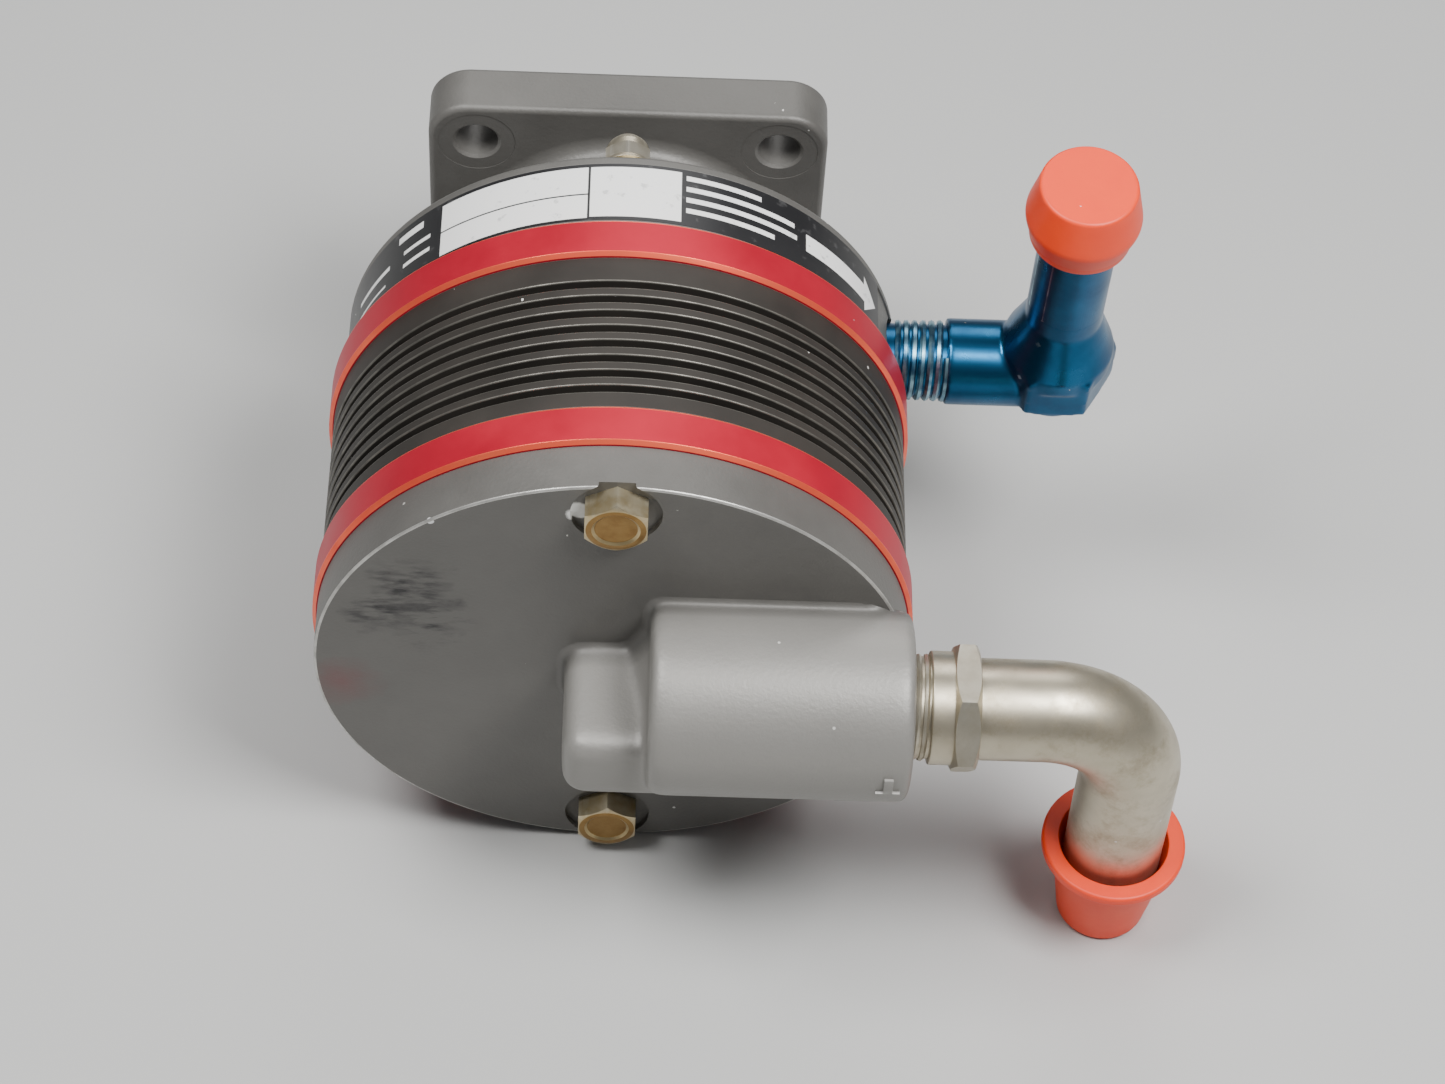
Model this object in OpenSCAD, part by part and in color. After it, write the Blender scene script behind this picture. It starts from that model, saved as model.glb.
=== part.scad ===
// Engine-driven dry vane air pump with a square mounting pad, a finned
// cam ring between two end plates, and capped inlet and outlet elbows.
// The pump's axis is Y: the mounting face is at y = 0 and the body lies
// behind it, at negative y. +Z is up as the pump lies on its side.

/* [Body] */
// Radius of the two end plates, the widest part of the body
plate_r = 48; // [47:0.5:50]
// Thickness of each end plate
plate_t = 7.4; // [7:0.1:8]
// Radius over the cooling fins
fin_r = 47.2; // [46.5:0.1:48]
// Length of the finned cam ring
ring_len = 30.4; // [30:0.1:32]
// Radius of the front housing's drum
drum_r = 46; // [45.5:0.1:46.5]
// Length of the front housing's drum
drum_len = 17.2; // [17:0.1:18]
// Radius of the rear cover
cover_r = 47.2; // [46.5:0.1:48]
// Thickness of the rear cover
cover_t = 8; // [8:0.1:9]

/* [Mounting pad] */
// Width of the square mounting flange
pad_w = 67; // [66:0.5:70]
// Thickness of the mounting flange
pad_t = 9.5; // [9:0.1:10]
// Side of the square of stud holes
stud_square = 50.8; // [50.8:0.1:51]
// Diameter of the stud holes
stud_hole_d = 7.1; // [7:0.1:7.4]
// Length of the neck between the flange and the drum
neck_len = 19.5; // [19:0.1:21]
// Radius of the neck
neck_r = 25; // [24:0.5:26]

/* [Cooling fins] */
// Number of grooves between the fins
groove_count = 8; // [6:1:8]
// Distance from one groove to the next
groove_pitch = 3; // [2.8:0.1:3]
// Width of each groove
groove_w = 1.3; // [1:0.1:1.5]
// Depth of each groove
groove_depth = 2.8; // [2:0.1:3]
// Plain land before the first groove
fin_land = 3.2; // [3:0.1:3.5]

/* [Pumping chamber] */
// Radius of the rotor
rotor_r = 27; // [26.5:0.1:27]
// Mean radius of the two-lobed cam bore
cam_mid_r = 29.65; // [29.6:0.01:29.7]
// How far each lobe of the cam bore swells beyond its mean radius
cam_swell = 2.35; // [2.3:0.01:2.35]
// Number of vanes
vane_count = 6; // [6:1:6]
// Thickness of a vane
vane_t = 4; // [3.5:0.1:4]
// Height of a vane along its slot
vane_h = 14.5; // [13:0.1:15]
// How far each vane's slot is offset from the rotor's centre
vane_offset = 6; // [5.5:0.1:6]

/* [Drive] */
// Radius of the rotor shaft
shaft_r = 5; // [5:0.1:5]
// Radius of the drive journal in the ball bearing
journal_r = 6; // [6:0.1:6]
// Number of spline teeth
spline_teeth = 12; // [10:1:14]
// Radius over the spline teeth
spline_tip_r = 8; // [7.8:0.1:8.4]
// Radius between the spline teeth
spline_root_r = 6.8; // [6.6:0.1:7]
// How far the spline stands out of the mounting face
spline_reach = 19; // [15:0.5:22]
// Number of balls in the bearing
ball_count = 9; // [8:1:9]
// Radius of each ball
ball_r = 2.35; // [2.3:0.01:2.35]

/* [Outlet] */
// Height of the outlet port above the pump's axis
outlet_z = 7.5; // [7:0.1:8]
// How far the outlet port's axis stands off the cover's face
outlet_off = 10.4; // [10:0.1:11]
// Radius of the cast outlet boss
boss_r = 14.9; // [14.5:0.1:15]
// Outer radius of the outlet pipe
pipe_r = 8; // [8:0.1:8]
// Centre-line radius of the pipe's bend
bend_r = 15.5; // [15:0.5:17]

/* [Inlet] */
// Height of the inlet port above the pump's axis
inlet_z = 5.8; // [5:0.1:6]
// How far the inlet stub leans back from straight up, in degrees
inlet_lean = 6; // [0:1:10]
// Distance from the pump's axis to the inlet stub's axis
inlet_x = 72.5; // [71:0.5:74]
// Radius of the inlet stub
stub_r = 6.35; // [6.3:0.05:6.4]

/* [Hidden] */
$fn = 96;

// Stations along the axis, from the mounting face back to the cover's face.
y_pad = -pad_t;
y_neck = y_pad - neck_len;
y_drum = y_neck - drum_len;
y_ring = y_drum - plate_t;
y_rear = y_ring - ring_len;
y_cover = y_rear - plate_t;
y_face = y_cover - cover_t;

// Two through bolts, above and below the axis.
bolt_circle_r = 40.7;
bolt_r = 2.38;
bolt_hole_r = 2.5;
bolt_head_af = 9.5;
bolt_head_h = 4.2;
head_seat = 1;
nut_seat = 1.5;
nut_af = 7.2;
nut_h = 4.8;
washer_t = 0.8;
bolt_end = 2;

// Dowels that line the end plates up with the cam ring.
dowel_circle_r = 39;
dowel_r = 2;
dowel_reach = 3.5;

// Front housing: bearing bore, coupling chamber and inlet plenum.
plenum_r = 35;
plenum_wall = 3;
chamber_r = 12.5;
bearing_r = 14;
bearing_w = 8;
bearing_y = -15;
clip_t = 1.1;
mouth_r = 16;
label_t = 0.3;
label_y0 = y_drum + 1.6;
label_y1 = y_neck - 3.6;

// Drive train, from the mounting face inwards.
hub_r = 10.5;
hub_t = 3;
drive_hub_y = -19;
coupling_t = 6;
coupling_gap = 0.2;
pin_r = 1.5;
pin_circle_r = 7;
coupling_y = drive_hub_y - coupling_gap - coupling_t;
shaft_hub_y = coupling_y - coupling_gap - hub_t;
shaft_tail = 3.4;
bush_r = 8;
running_gap = 0.05;

// Bearing races and balls.
ball_circle_r = 10;
inner_race_r = 8.4;
outer_race_r = 11.6;
race_gap = 0.2;
shield_t = 0.5;

// Rotor and vanes.
end_gap = 0.2;
slot_gap = 0.075;
slot_floor = 11.4;
tip_gap = 0.1;
rotor_y = y_rear + end_gap;
rotor_len = ring_len - 2 * end_gap;
// A vane's tip stands this far round from its slot, so the rotor is stored
// turned back by it, with two opposite tips on the cam's long axis.
tip_turn = asin(vane_offset / rotor_r);
port_r = 2.4;
port_circle_r = 29.4;
port_angles = [12, 20, 28, 36];

// Ports and fittings.
outlet_y = y_face - outlet_off;
boss_x0 = 5.9;
boss_x1 = 46.7;
outlet_thread_r = 8.55;
outlet_thread_end = 49.5;
outlet_collar_end = 53.1;
outlet_hex_end = 57.1;
outlet_hex_af = 19;
pipe_bore_r = 6.8;
pipe_x = outlet_hex_end + 10.4 + bend_r;
outlet_cap_mouth_z = -28.3;
outlet_cap_len = 19.7;
pipe_end_z = outlet_cap_mouth_z - 5;
inlet_y = y_drum + drum_len / 2;
inlet_thread_r = 6.85;
inlet_thread_end = 54.6;
inlet_shank_r = 7.25;
inlet_hex_af = 17.4;
stub_end = 48.4;
inlet_cap_len = 12.7;
inlet_cap_top = 50.2;
thread_pitch = 1.41;
thread_depth = 0.75;
port_depth = 36;

casting = [0.50, 0.49, 0.47];
anodised = [0.72, 0.10, 0.14];
plated = [0.72, 0.66, 0.50];
steel = [0.62, 0.63, 0.65];
carbon = [0.13, 0.13, 0.14];

// Turns a shape drawn along +Z so that it runs along the pump's axis, +Y.
module on_axis() { rotate([-90, 0, 0]) children(); }

// Solid disc or bar on the pump's axis between two stations.
module disc(y0, y1, r) {
    translate([0, y0, 0]) on_axis() cylinder(h = y1 - y0, r = r);
}

module washer(y0, y1, r_out, r_in) {
    difference() {
        disc(y0, y1, r_out);
        disc(y0 - 1, y1 + 1, r_in);
    }
}

// Disc with a small bevel on both rims.
module bevelled_disc(y0, y1, r, bevel) {
    on_axis() rotate_extrude() polygon([[0, y0], [r - bevel, y0], [r, y0 + bevel],
                                        [r, y1 - bevel], [r - bevel, y1], [0, y1]]);
}

// Bar along +X between two places, at the given y and z.
module bar_x(x0, x1, r, y, z) {
    translate([x0, y, z]) rotate([0, 90, 0]) cylinder(h = x1 - x0, r = r);
}

module hex_x(x0, x1, af, y, z) {
    translate([x0, y, z]) rotate([0, 90, 0]) cylinder(h = x1 - x0, d = af / cos(30), $fn = 6);
}

// One child above the axis and one below it, for the through bolts.
module at_bolts() {
    for (side = [-1, 1]) translate([0, 0, side * bolt_circle_r]) children();
}

module bolt_holes(y0, y1) {
    at_bolts() disc(y0 - 1, y1 + 1, bolt_hole_r);
}

module at_dowels() {
    for (side = [-1, 1]) translate([side * dowel_circle_r, 0, 0]) children();
}

// Holes through an end plate into the chamber, one arc for each lobe.
module lobe_ports(y0, y1, side) {
    for (lobe = [0, 180], a = port_angles)
        rotate([0, lobe + side * a, 0]) translate([port_circle_r, 0, 0]) disc(y0 - 1, y1 + 1, port_r);
}

// Ring-shaped thread crests on a bar along +X.
module thread_x(x0, x1, r, y, z) {
    turns = floor((x1 - x0) / thread_pitch);
    pitch = (x1 - x0) / turns;
    profile = concat([[0, 0]], [for (i = [0 : turns - 1], k = [0, 1])
        [r - (1 - k) * thread_depth, (i + k / 2) * pitch]],
        [[r - thread_depth, x1 - x0], [0, x1 - x0]]);
    translate([x0, y, z]) rotate([0, 90, 0]) rotate_extrude() polygon(profile);
}

// Square plate with rounded corners, from y_pad to the mounting face.
module pad_plate() {
    corner_r = 7;
    side = pad_w / 2 - corner_r;
    translate([0, y_pad, 0]) on_axis() linear_extrude(height = pad_t) union() {
        square([pad_w, 2 * side], center = true);
        square([2 * side, pad_w], center = true);
        for (x = [-side, side], z = [-side, side]) translate([x, z]) circle(r = corner_r);
    }
}

module stud_holes() {
    spot_r = 6.5;
    spot_depth = 0.5;
    half = stud_square / 2;
    for (x = [-half, half], z = [-half, half]) translate([x, 0, z]) {
        disc(y_pad - 1, 1, stud_hole_d / 2);
        disc(y_pad - 1, y_pad + spot_depth, spot_r);
    }
}

module front_housing() {
    shoulder = 2.4;
    color(casting) difference() {
        union() {
            pad_plate();
            disc(y_neck - 1, y_pad + 1, neck_r);
            on_axis() rotate_extrude() polygon([
                [0, y_drum], [drum_r, y_drum], [drum_r, label_y0],
                [drum_r - label_t, label_y0], [drum_r - label_t, label_y1],
                [drum_r, label_y1], [drum_r, y_neck - shoulder],
                [drum_r - 0.3 * shoulder, y_neck - 0.3 * shoulder],
                [drum_r - shoulder, y_neck], [0, y_neck]]);
        }
        stud_holes();
        disc(y_drum - 1, y_neck - plenum_wall, plenum_r);
        disc(y_neck - plenum_wall - 1, bearing_y + 1, chamber_r);
        disc(bearing_y, 1, bearing_r);
        disc(bearing_y + bearing_w, bearing_y + bearing_w + clip_t, bearing_r + 0.8);
        disc(-4.8, 1, mouth_r);
        bolt_holes(y_drum, y_neck);
        at_bolts() disc(y_neck - nut_seat, y_neck + 1, 5);
        bar_x(plenum_r - 5, drum_r + 1, inlet_thread_r, inlet_y, inlet_z);
    }
}

module front_plate() {
    color(anodised) difference() {
        bevelled_disc(y_ring, y_drum, plate_r, 0.8);
        disc(y_ring - 1, y_drum + 1, bush_r);
        bolt_holes(y_ring, y_drum);
        lobe_ports(y_ring, y_drum, 1);
        at_dowels() disc(y_ring - 1, y_ring + dowel_reach, dowel_r);
    }
}

function cam_point(a) = (cam_mid_r + cam_swell * cos(2 * a)) * [cos(a), sin(a)];

module cam_ring() {
    root_r = fin_r - groove_depth;
    grooves = [for (i = [0 : groove_count - 1]) y_rear + fin_land + i * groove_pitch];
    color([0.27, 0.25, 0.23]) difference() {
        on_axis() rotate_extrude() polygon(concat([[0, y_rear], [fin_r, y_rear]],
            [for (g = grooves, k = [0 : 3])
                [(k == 0 || k == 3) ? fin_r : root_r, g + (k < 2 ? 0 : groove_w)]],
            [[fin_r, y_ring], [0, y_ring]]));
        translate([0, y_rear - 1, 0]) on_axis() linear_extrude(height = ring_len + 2)
            polygon([for (a = [0 : 4 : 356]) cam_point(a)]);
        bolt_holes(y_rear, y_ring);
        at_dowels() {
            disc(y_ring - dowel_reach, y_ring + 1, dowel_r);
            disc(y_rear - 1, y_rear + dowel_reach, dowel_r);
        }
    }
}

module rear_plate() {
    color(anodised) difference() {
        bevelled_disc(y_cover, y_rear, plate_r, 0.8);
        disc(y_cover - 1, y_rear + 1, bush_r);
        bolt_holes(y_cover, y_rear);
        lobe_ports(y_cover, y_rear, -1);
        at_dowels() disc(y_rear - dowel_reach, y_rear + 1, dowel_r);
    }
}

// Squared-off start of the outlet boss, over the cover's outlet drilling.
module boss_block() {
    x0 = -7.4;
    front = y_face - 19.6;
    top = 6.6;
    bottom = outlet_z - boss_r;
    edge = 2.5;
    translate([x0, y_face + 1, bottom]) rotate([90, 0, 90])
        linear_extrude(height = boss_x0 + 4 - x0)
        polygon([[0, 0], [front - y_face - 1 + edge, 0], [front - y_face - 1, edge],
                 [front - y_face - 1, top - bottom - edge],
                 [front - y_face - 1 + edge, top - bottom], [0, top - bottom]]);
}

module rear_cover() {
    exhaust_r = 34;
    exhaust_depth = 4.4;
    drill_r = 4;
    color(casting) difference() {
        union() {
            bevelled_disc(y_face, y_cover, cover_r, 0.4);
            bar_x(boss_x0, boss_x1, boss_r, outlet_y, outlet_z);
            boss_block();
        }
        disc(y_cover - exhaust_depth, y_cover + 1, exhaust_r);
        translate([0.5, 0, 0]) disc(outlet_y, y_cover, drill_r);
        bar_x(0.5, boss_x0 + 6, drill_r, outlet_y + 2, 1.5);
        bar_x(boss_x0 + 3, port_depth + 1, pipe_bore_r, outlet_y, outlet_z);
        bar_x(port_depth, boss_x1 + 1, outlet_thread_r, outlet_y, outlet_z);
        bolt_holes(y_face, y_cover);
        at_bolts() disc(y_face - 1, y_face + head_seat, 7);
    }
}

// Places a child in the rotor's slot number i: +Z runs out along the slot.
module in_slot(i) {
    rotate([0, 90 - tip_turn + i * 360 / vane_count, 0]) translate([vane_offset, 0, 0]) children();
}

module rotor() {
    slot_w = vane_t + 2 * slot_gap;
    color(carbon) difference() {
        disc(rotor_y, rotor_y + rotor_len, rotor_r);
        disc(rotor_y - 1, rotor_y + rotor_len + 1, shaft_r);
        for (i = [0 : vane_count - 1]) in_slot(i)
            translate([-slot_w / 2, rotor_y - 1, slot_floor])
            cube([slot_w, rotor_len + 2, rotor_r]);
    }
}

module vane(i) {
    color([0.20, 0.20, 0.21]) intersection() {
        in_slot(i) translate([-vane_t / 2, rotor_y + 0.1, rotor_r - vane_h])
            cube([vane_t, rotor_len - 0.2, vane_h]);
        disc(rotor_y, rotor_y + rotor_len, rotor_r - tip_gap);
    }
}
module vane_1() { vane(0); }
module vane_2() { vane(1); }
module vane_3() { vane(2); }
module vane_4() { vane(3); }
module vane_5() { vane(4); }
module vane_6() { vane(5); }

// Pin holes of a drive hub or the coupling: one set of three, or both sets.
module at_pins(sets) {
    for (set = sets, k = [0 : 2])
        rotate([0, set * 60 + k * 120, 0]) translate([pin_circle_r, 0, 0]) children();
}

module rotor_shaft() {
    color(steel) difference() {
        union() {
            disc(shaft_hub_y, shaft_hub_y + hub_t, hub_r);
            disc(y_cover - shaft_tail, shaft_hub_y + 1, shaft_r);
        }
        at_pins([1]) disc(shaft_hub_y - 1, shaft_hub_y + hub_t + 1, pin_r);
    }
}

module front_bush() {
    color(carbon) washer(y_ring, y_drum, bush_r, shaft_r + running_gap);
}

module rear_bush() {
    color(carbon) washer(y_cover, y_rear, bush_r, shaft_r + running_gap);
}

module spline_profile() {
    pitch = 360 / spline_teeth;
    polygon([for (i = [0 : spline_teeth - 1], k = [[-0.36, 0], [-0.17, 1], [0.17, 1], [0.36, 0]])
        (k[1] == 1 ? spline_tip_r : spline_root_r)
        * [cos((i + k[0]) * pitch), sin((i + k[0]) * pitch)]]);
}

module drive_spline() {
    shoulder_len = 3;
    nose = 1;
    color(steel) difference() {
        union() {
            disc(drive_hub_y, drive_hub_y + hub_t, hub_r);
            disc(drive_hub_y + 1, 0, journal_r);
            disc(bearing_y + bearing_w, bearing_y + bearing_w + shoulder_len, journal_r + 1.4);
            intersection() {
                translate([0, bearing_y + bearing_w + shoulder_len, 0]) on_axis()
                    linear_extrude(height = spline_reach - bearing_y - bearing_w - shoulder_len)
                    spline_profile();
                bevelled_disc(-10, spline_reach, spline_tip_r + 0.2, nose);
            }
        }
        at_pins([0]) disc(drive_hub_y - 1, drive_hub_y + hub_t + 1, pin_r);
        disc(spline_reach - 6, spline_reach + 1, 1.6);
    }
}

module shear_coupling() {
    color([0.90, 0.86, 0.70]) difference() {
        disc(coupling_y, coupling_y + coupling_t, hub_r);
        at_pins([0, 1]) disc(coupling_y - 1, coupling_y + coupling_t + 1, pin_r);
        disc(coupling_y - 1, coupling_y + coupling_t + 1, 2.5);
    }
}

module shear_pins() {
    pin_bite = 4.5;
    color(steel) {
        at_pins([0]) disc(coupling_y + coupling_t - pin_bite, drive_hub_y + hub_t, pin_r);
        at_pins([1]) disc(shaft_hub_y, coupling_y + pin_bite, pin_r);
    }
}

// Groove that the balls run in, cut from a race.
module ball_track() {
    translate([0, bearing_y + bearing_w / 2, 0]) on_axis() rotate_extrude()
        translate([ball_circle_r, 0]) circle(r = ball_r + race_gap);
}

module bearing_outer_race() {
    color(steel) difference() {
        washer(bearing_y, bearing_y + bearing_w, bearing_r, outer_race_r);
        ball_track();
    }
}

module bearing_inner_race() {
    color(steel) difference() {
        washer(bearing_y, bearing_y + bearing_w, inner_race_r, journal_r);
        ball_track();
    }
}

module at_balls() {
    for (i = [0 : ball_count - 1])
        rotate([0, i * 360 / ball_count, 0])
        translate([0, bearing_y + bearing_w / 2, ball_circle_r]) children();
}

module bearing_balls() {
    color([0.80, 0.81, 0.83]) at_balls() sphere(r = ball_r);
}

module bearing_cage() {
    rim = shield_t + race_gap;
    pocket_r = ball_r + 0.1;
    color([0.70, 0.58, 0.30]) difference() {
        washer(bearing_y + rim, bearing_y + bearing_w - rim, ball_circle_r + 0.7, ball_circle_r - 0.7);
        at_balls() translate([0, 0, -3]) cylinder(h = 6, r = pocket_r);
    }
}

module bearing_shields() {
    color([0.55, 0.56, 0.58]) for (y = [bearing_y, bearing_y + bearing_w - shield_t])
        washer(y, y + shield_t, outer_race_r, inner_race_r + race_gap);
}

module retaining_ring() {
    lug_circle_r = bearing_r - 2.5;
    lug_r = 1.9;
    lug_turn = 12;
    pin_hole_r = 0.8;
    gap = 1.8;
    color(steel) translate([0, bearing_y + bearing_w, 0]) on_axis()
        linear_extrude(height = clip_t) difference() {
            union() {
                difference() {
                    circle(r = bearing_r + 0.7);
                    circle(r = bearing_r - 1.5);
                }
                for (side = [-1, 1]) rotate(side * lug_turn) translate([0, -lug_circle_r]) circle(r = lug_r);
            }
            for (side = [-1, 1]) rotate(side * lug_turn) translate([0, -lug_circle_r]) circle(r = pin_hole_r);
            translate([-gap / 2, -bearing_r - 2]) square([gap, lug_circle_r]);
        }
}

module through_bolts() {
    head_y = y_face + head_seat;
    end_y = y_neck - nut_seat + washer_t + nut_h + bolt_end;
    dome = 0.8;
    color(plated) at_bolts() {
        translate([0, head_y - bolt_head_h, 0]) on_axis() intersection() {
            cylinder(h = bolt_head_h, d = bolt_head_af / cos(30), $fn = 6);
            cylinder(h = bolt_head_h + 8, r1 = bolt_head_af / 2 - 0.2, r2 = bolt_head_af / 2 + 20);
        }
        disc(head_y - 0.5, end_y - dome, bolt_r);
        translate([0, end_y - dome, 0]) on_axis() cylinder(h = dome, r1 = bolt_r, r2 = bolt_r - dome);
    }
}

module nut_washers() {
    seat = y_neck - nut_seat;
    color(plated) at_bolts() washer(seat, seat + washer_t, 4.4, bolt_r);
}

module bolt_nuts() {
    seat = y_neck - nut_seat + washer_t;
    color(plated) at_bolts() difference() {
        union() {
            translate([0, seat, 0]) on_axis()
                cylinder(h = nut_h - 1.2, d = nut_af / cos(30), $fn = 6);
            translate([0, seat + nut_h - 1.3, 0]) on_axis()
                cylinder(h = 1.3, r1 = nut_af / 2, r2 = nut_af / 2 - 0.5);
            disc(seat, seat + 0.9, nut_af / 2 + 0.6);
        }
        disc(seat - 1, seat + nut_h + 1, bolt_r);
    }
}

module dowel_pins() {
    color(steel) at_dowels() {
        disc(y_ring - dowel_reach, y_ring + dowel_reach, dowel_r);
        disc(y_rear - dowel_reach, y_rear + dowel_reach, dowel_r);
    }
}

// Puts a child at the inlet elbow's corner, with +Z up the leaning stub.
module on_stub() {
    translate([inlet_x, inlet_y, inlet_z]) rotate([inlet_lean, 0, 0]) children();
}

module inlet_elbow() {
    bore_r = 4.6;
    hex_top = 7.4;
    color([0.10, 0.30, 0.52]) difference() {
        union() {
            bar_x(port_depth, drum_r - 0.4, inlet_thread_r, inlet_y, inlet_z);
            thread_x(drum_r - 0.4, inlet_thread_end, inlet_thread_r, inlet_y, inlet_z);
            bar_x(inlet_thread_end, inlet_x, inlet_shank_r, inlet_y, inlet_z);
            on_stub() {
                sphere(r = 8.4);
                translate([0, 0, -2.5]) rotate([0, 0, 30])
                    cylinder(h = hex_top + 2.5, d = inlet_hex_af / cos(30), $fn = 6);
                translate([0, 0, hex_top]) cylinder(h = 5.6, r1 = inlet_hex_af / 2, r2 = 7.6);
                translate([0, 0, hex_top + 5.6]) cylinder(h = 3, r1 = 7.6, r2 = stub_r);
                cylinder(h = stub_end, r = stub_r);
            }
        }
        bar_x(port_depth - 1, inlet_x, bore_r, inlet_y, inlet_z);
        on_stub() {
            sphere(r = bore_r);
            cylinder(h = stub_end + 1, r = bore_r);
        }
    }
}

// Tapered push-on cap, mouth at z = 0 and closed end up at z = len.
module push_cap(len, mouth_r, closed_r, bore_r, bore_end_r, rim_r, rim_t) {
    floor_t = 1.4;
    rotate_extrude() polygon([[bore_r, 0], [rim_r - 0.4, 0], [rim_r, 0.4], [rim_r, rim_t - 0.4],
        [rim_r - 0.4, rim_t], [mouth_r, rim_t], [closed_r + 0.15, len - 0.7],
        [closed_r - 0.5, len], [0, len], [0, len - floor_t], [bore_end_r, len - floor_t]]);
}

module inlet_cap() {
    color([0.93, 0.20, 0.13]) on_stub() translate([0, 0, inlet_cap_top - inlet_cap_len])
        push_cap(inlet_cap_len, 8.7, 7.8, stub_r + 1, stub_r + 0.25, 9.3, 1.8);
}

module outlet_adapter() {
    socket_x = 50;
    color(plated) difference() {
        union() {
            bar_x(port_depth, boss_x1, outlet_thread_r, outlet_y, outlet_z);
            thread_x(boss_x1, outlet_thread_end, outlet_thread_r, outlet_y, outlet_z);
            bar_x(outlet_thread_end, outlet_collar_end, 8.9, outlet_y, outlet_z);
            hex_x(outlet_collar_end, outlet_hex_end, outlet_hex_af, outlet_y, outlet_z);
        }
        bar_x(port_depth - 1, outlet_hex_end, pipe_bore_r, outlet_y, outlet_z);
        bar_x(socket_x, outlet_hex_end + 1, pipe_r, outlet_y, outlet_z);
    }
}

// The outlet pipe's route, swept solid: straight out, round the bend, down.
module pipe_route(r, extra) {
    bar_x(50 - extra, pipe_x - bend_r, r, outlet_y, outlet_z);
    translate([pipe_x - bend_r, outlet_y, outlet_z - bend_r]) rotate([90, 0, 0])
        rotate_extrude(angle = 90) translate([bend_r, 0]) circle(r = r);
    translate([pipe_x, outlet_y, pipe_end_z - extra])
        cylinder(h = outlet_z - bend_r - pipe_end_z + extra, r = r);
}

module outlet_pipe() {
    color([0.74, 0.71, 0.62]) difference() {
        pipe_route(pipe_r, 0);
        pipe_route(pipe_bore_r, 1);
    }
}

module outlet_cap() {
    color([0.93, 0.20, 0.13]) translate([pipe_x, outlet_y, outlet_cap_mouth_z]) mirror([0, 0, 1])
        push_cap(outlet_cap_len, 9.8, 7.3, pipe_r + 1, 6, 11.8, 2);
}

// Printed foil band in the drum's shallow recess, clear of the inlet port.
module data_label() {
    span_from = -104;
    span_to = 66;
    color([0.06, 0.06, 0.07]) rotate([0, span_from, 0]) rotate([-90, 0, 0]) mirror([0, 1, 0])
        rotate([0, 0, 90]) rotate_extrude(angle = span_from - span_to)
        translate([drum_r - label_t, label_y0]) square([label_t, label_y1 - label_y0]);
}

front_housing();
front_plate();
cam_ring();
rear_plate();
rear_cover();
rotor();
vane_1();
vane_2();
vane_3();
vane_4();
vane_5();
vane_6();
rotor_shaft();
front_bush();
rear_bush();
drive_spline();
shear_coupling();
shear_pins();
bearing_outer_race();
bearing_inner_race();
bearing_balls();
bearing_cage();
bearing_shields();
retaining_ring();
through_bolts();
nut_washers();
bolt_nuts();
dowel_pins();
inlet_elbow();
inlet_cap();
outlet_adapter();
outlet_pipe();
outlet_cap();
data_label();
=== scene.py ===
import math

import bmesh
import bpy
from mathutils import Matrix, Vector


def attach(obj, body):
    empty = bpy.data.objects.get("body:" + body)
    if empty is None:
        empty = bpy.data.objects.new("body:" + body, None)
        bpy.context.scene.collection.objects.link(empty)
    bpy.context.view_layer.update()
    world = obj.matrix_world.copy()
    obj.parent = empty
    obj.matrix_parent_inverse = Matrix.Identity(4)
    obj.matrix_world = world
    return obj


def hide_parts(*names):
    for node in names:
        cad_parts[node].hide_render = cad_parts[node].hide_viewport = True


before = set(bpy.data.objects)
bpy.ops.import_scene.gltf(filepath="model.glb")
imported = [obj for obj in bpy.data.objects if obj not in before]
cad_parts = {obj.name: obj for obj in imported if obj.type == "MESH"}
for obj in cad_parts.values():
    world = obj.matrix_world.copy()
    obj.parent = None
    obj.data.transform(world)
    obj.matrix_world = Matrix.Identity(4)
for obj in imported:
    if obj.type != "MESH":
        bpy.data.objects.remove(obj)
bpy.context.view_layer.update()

MM = 0.001

# Stations along the pump's axis, in mm from the mounting face.
PAD_BACK, NECK_END, DRUM_END, RING_FRONT = -9.5, -29.0, -46.2, -53.6
RING_REAR, COVER_FRONT, COVER_FACE = -84.0, -91.4, -99.4
PLATE_R, FIN_R, DRUM_R, COVER_R = 48.0, 47.2, 46.0, 47.2
GROOVE_ROOT_R, FIN_PITCH, FIN_W, FIRST_FIN = 44.4, 3.0, 1.7, -79.5
BOLT_CIRCLE, BOLT_HOLE_R, BOLT_RECESS_R = 40.7, 2.5, 7.0
STUD_HALF, STUD_HOLE_R, SPOT_FACE_R = 25.4, 3.6, 6.5
PAD_HALF, PAD_CORNER, NECK_R = 33.5, 7.0, 25.0
PORT_CIRCLE, PORT_R, DOWEL_CIRCLE, DOWEL_R = 29.4, 4.0, 39.0, 2.0
CAM_MEAN_R, CAM_LIFT = 29.65, 2.35
OUTLET_Y, OUTLET_Z, BOSS_R, BOSS_X0, BOSS_X1 = -109.8, 7.5, 14.9, 5.9, 46.7
PIPE_X, PIPE_R, PIPE_BORE, BEND_R, PIPE_END_Z = 83.0, 8.0, 6.8, 15.5, -33.3
INLET_X, INLET_Y, INLET_Z, INLET_LEAN = 72.5, -37.6, 5.8, 6.0
LABEL_Y0, LABEL_Y1, LABEL_T = -44.6, -32.6, 0.3
LABEL_FROM, LABEL_TO = -104.0, 66.0

ALONG_Y = Matrix.Rotation(math.radians(-90), 4, "X")
ALONG_X = Matrix.Rotation(math.radians(90), 4, "Y")


def at(x, y, z, turn=None):
    place = Matrix.Translation((x, y, z))
    return place @ turn if turn else place


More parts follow.
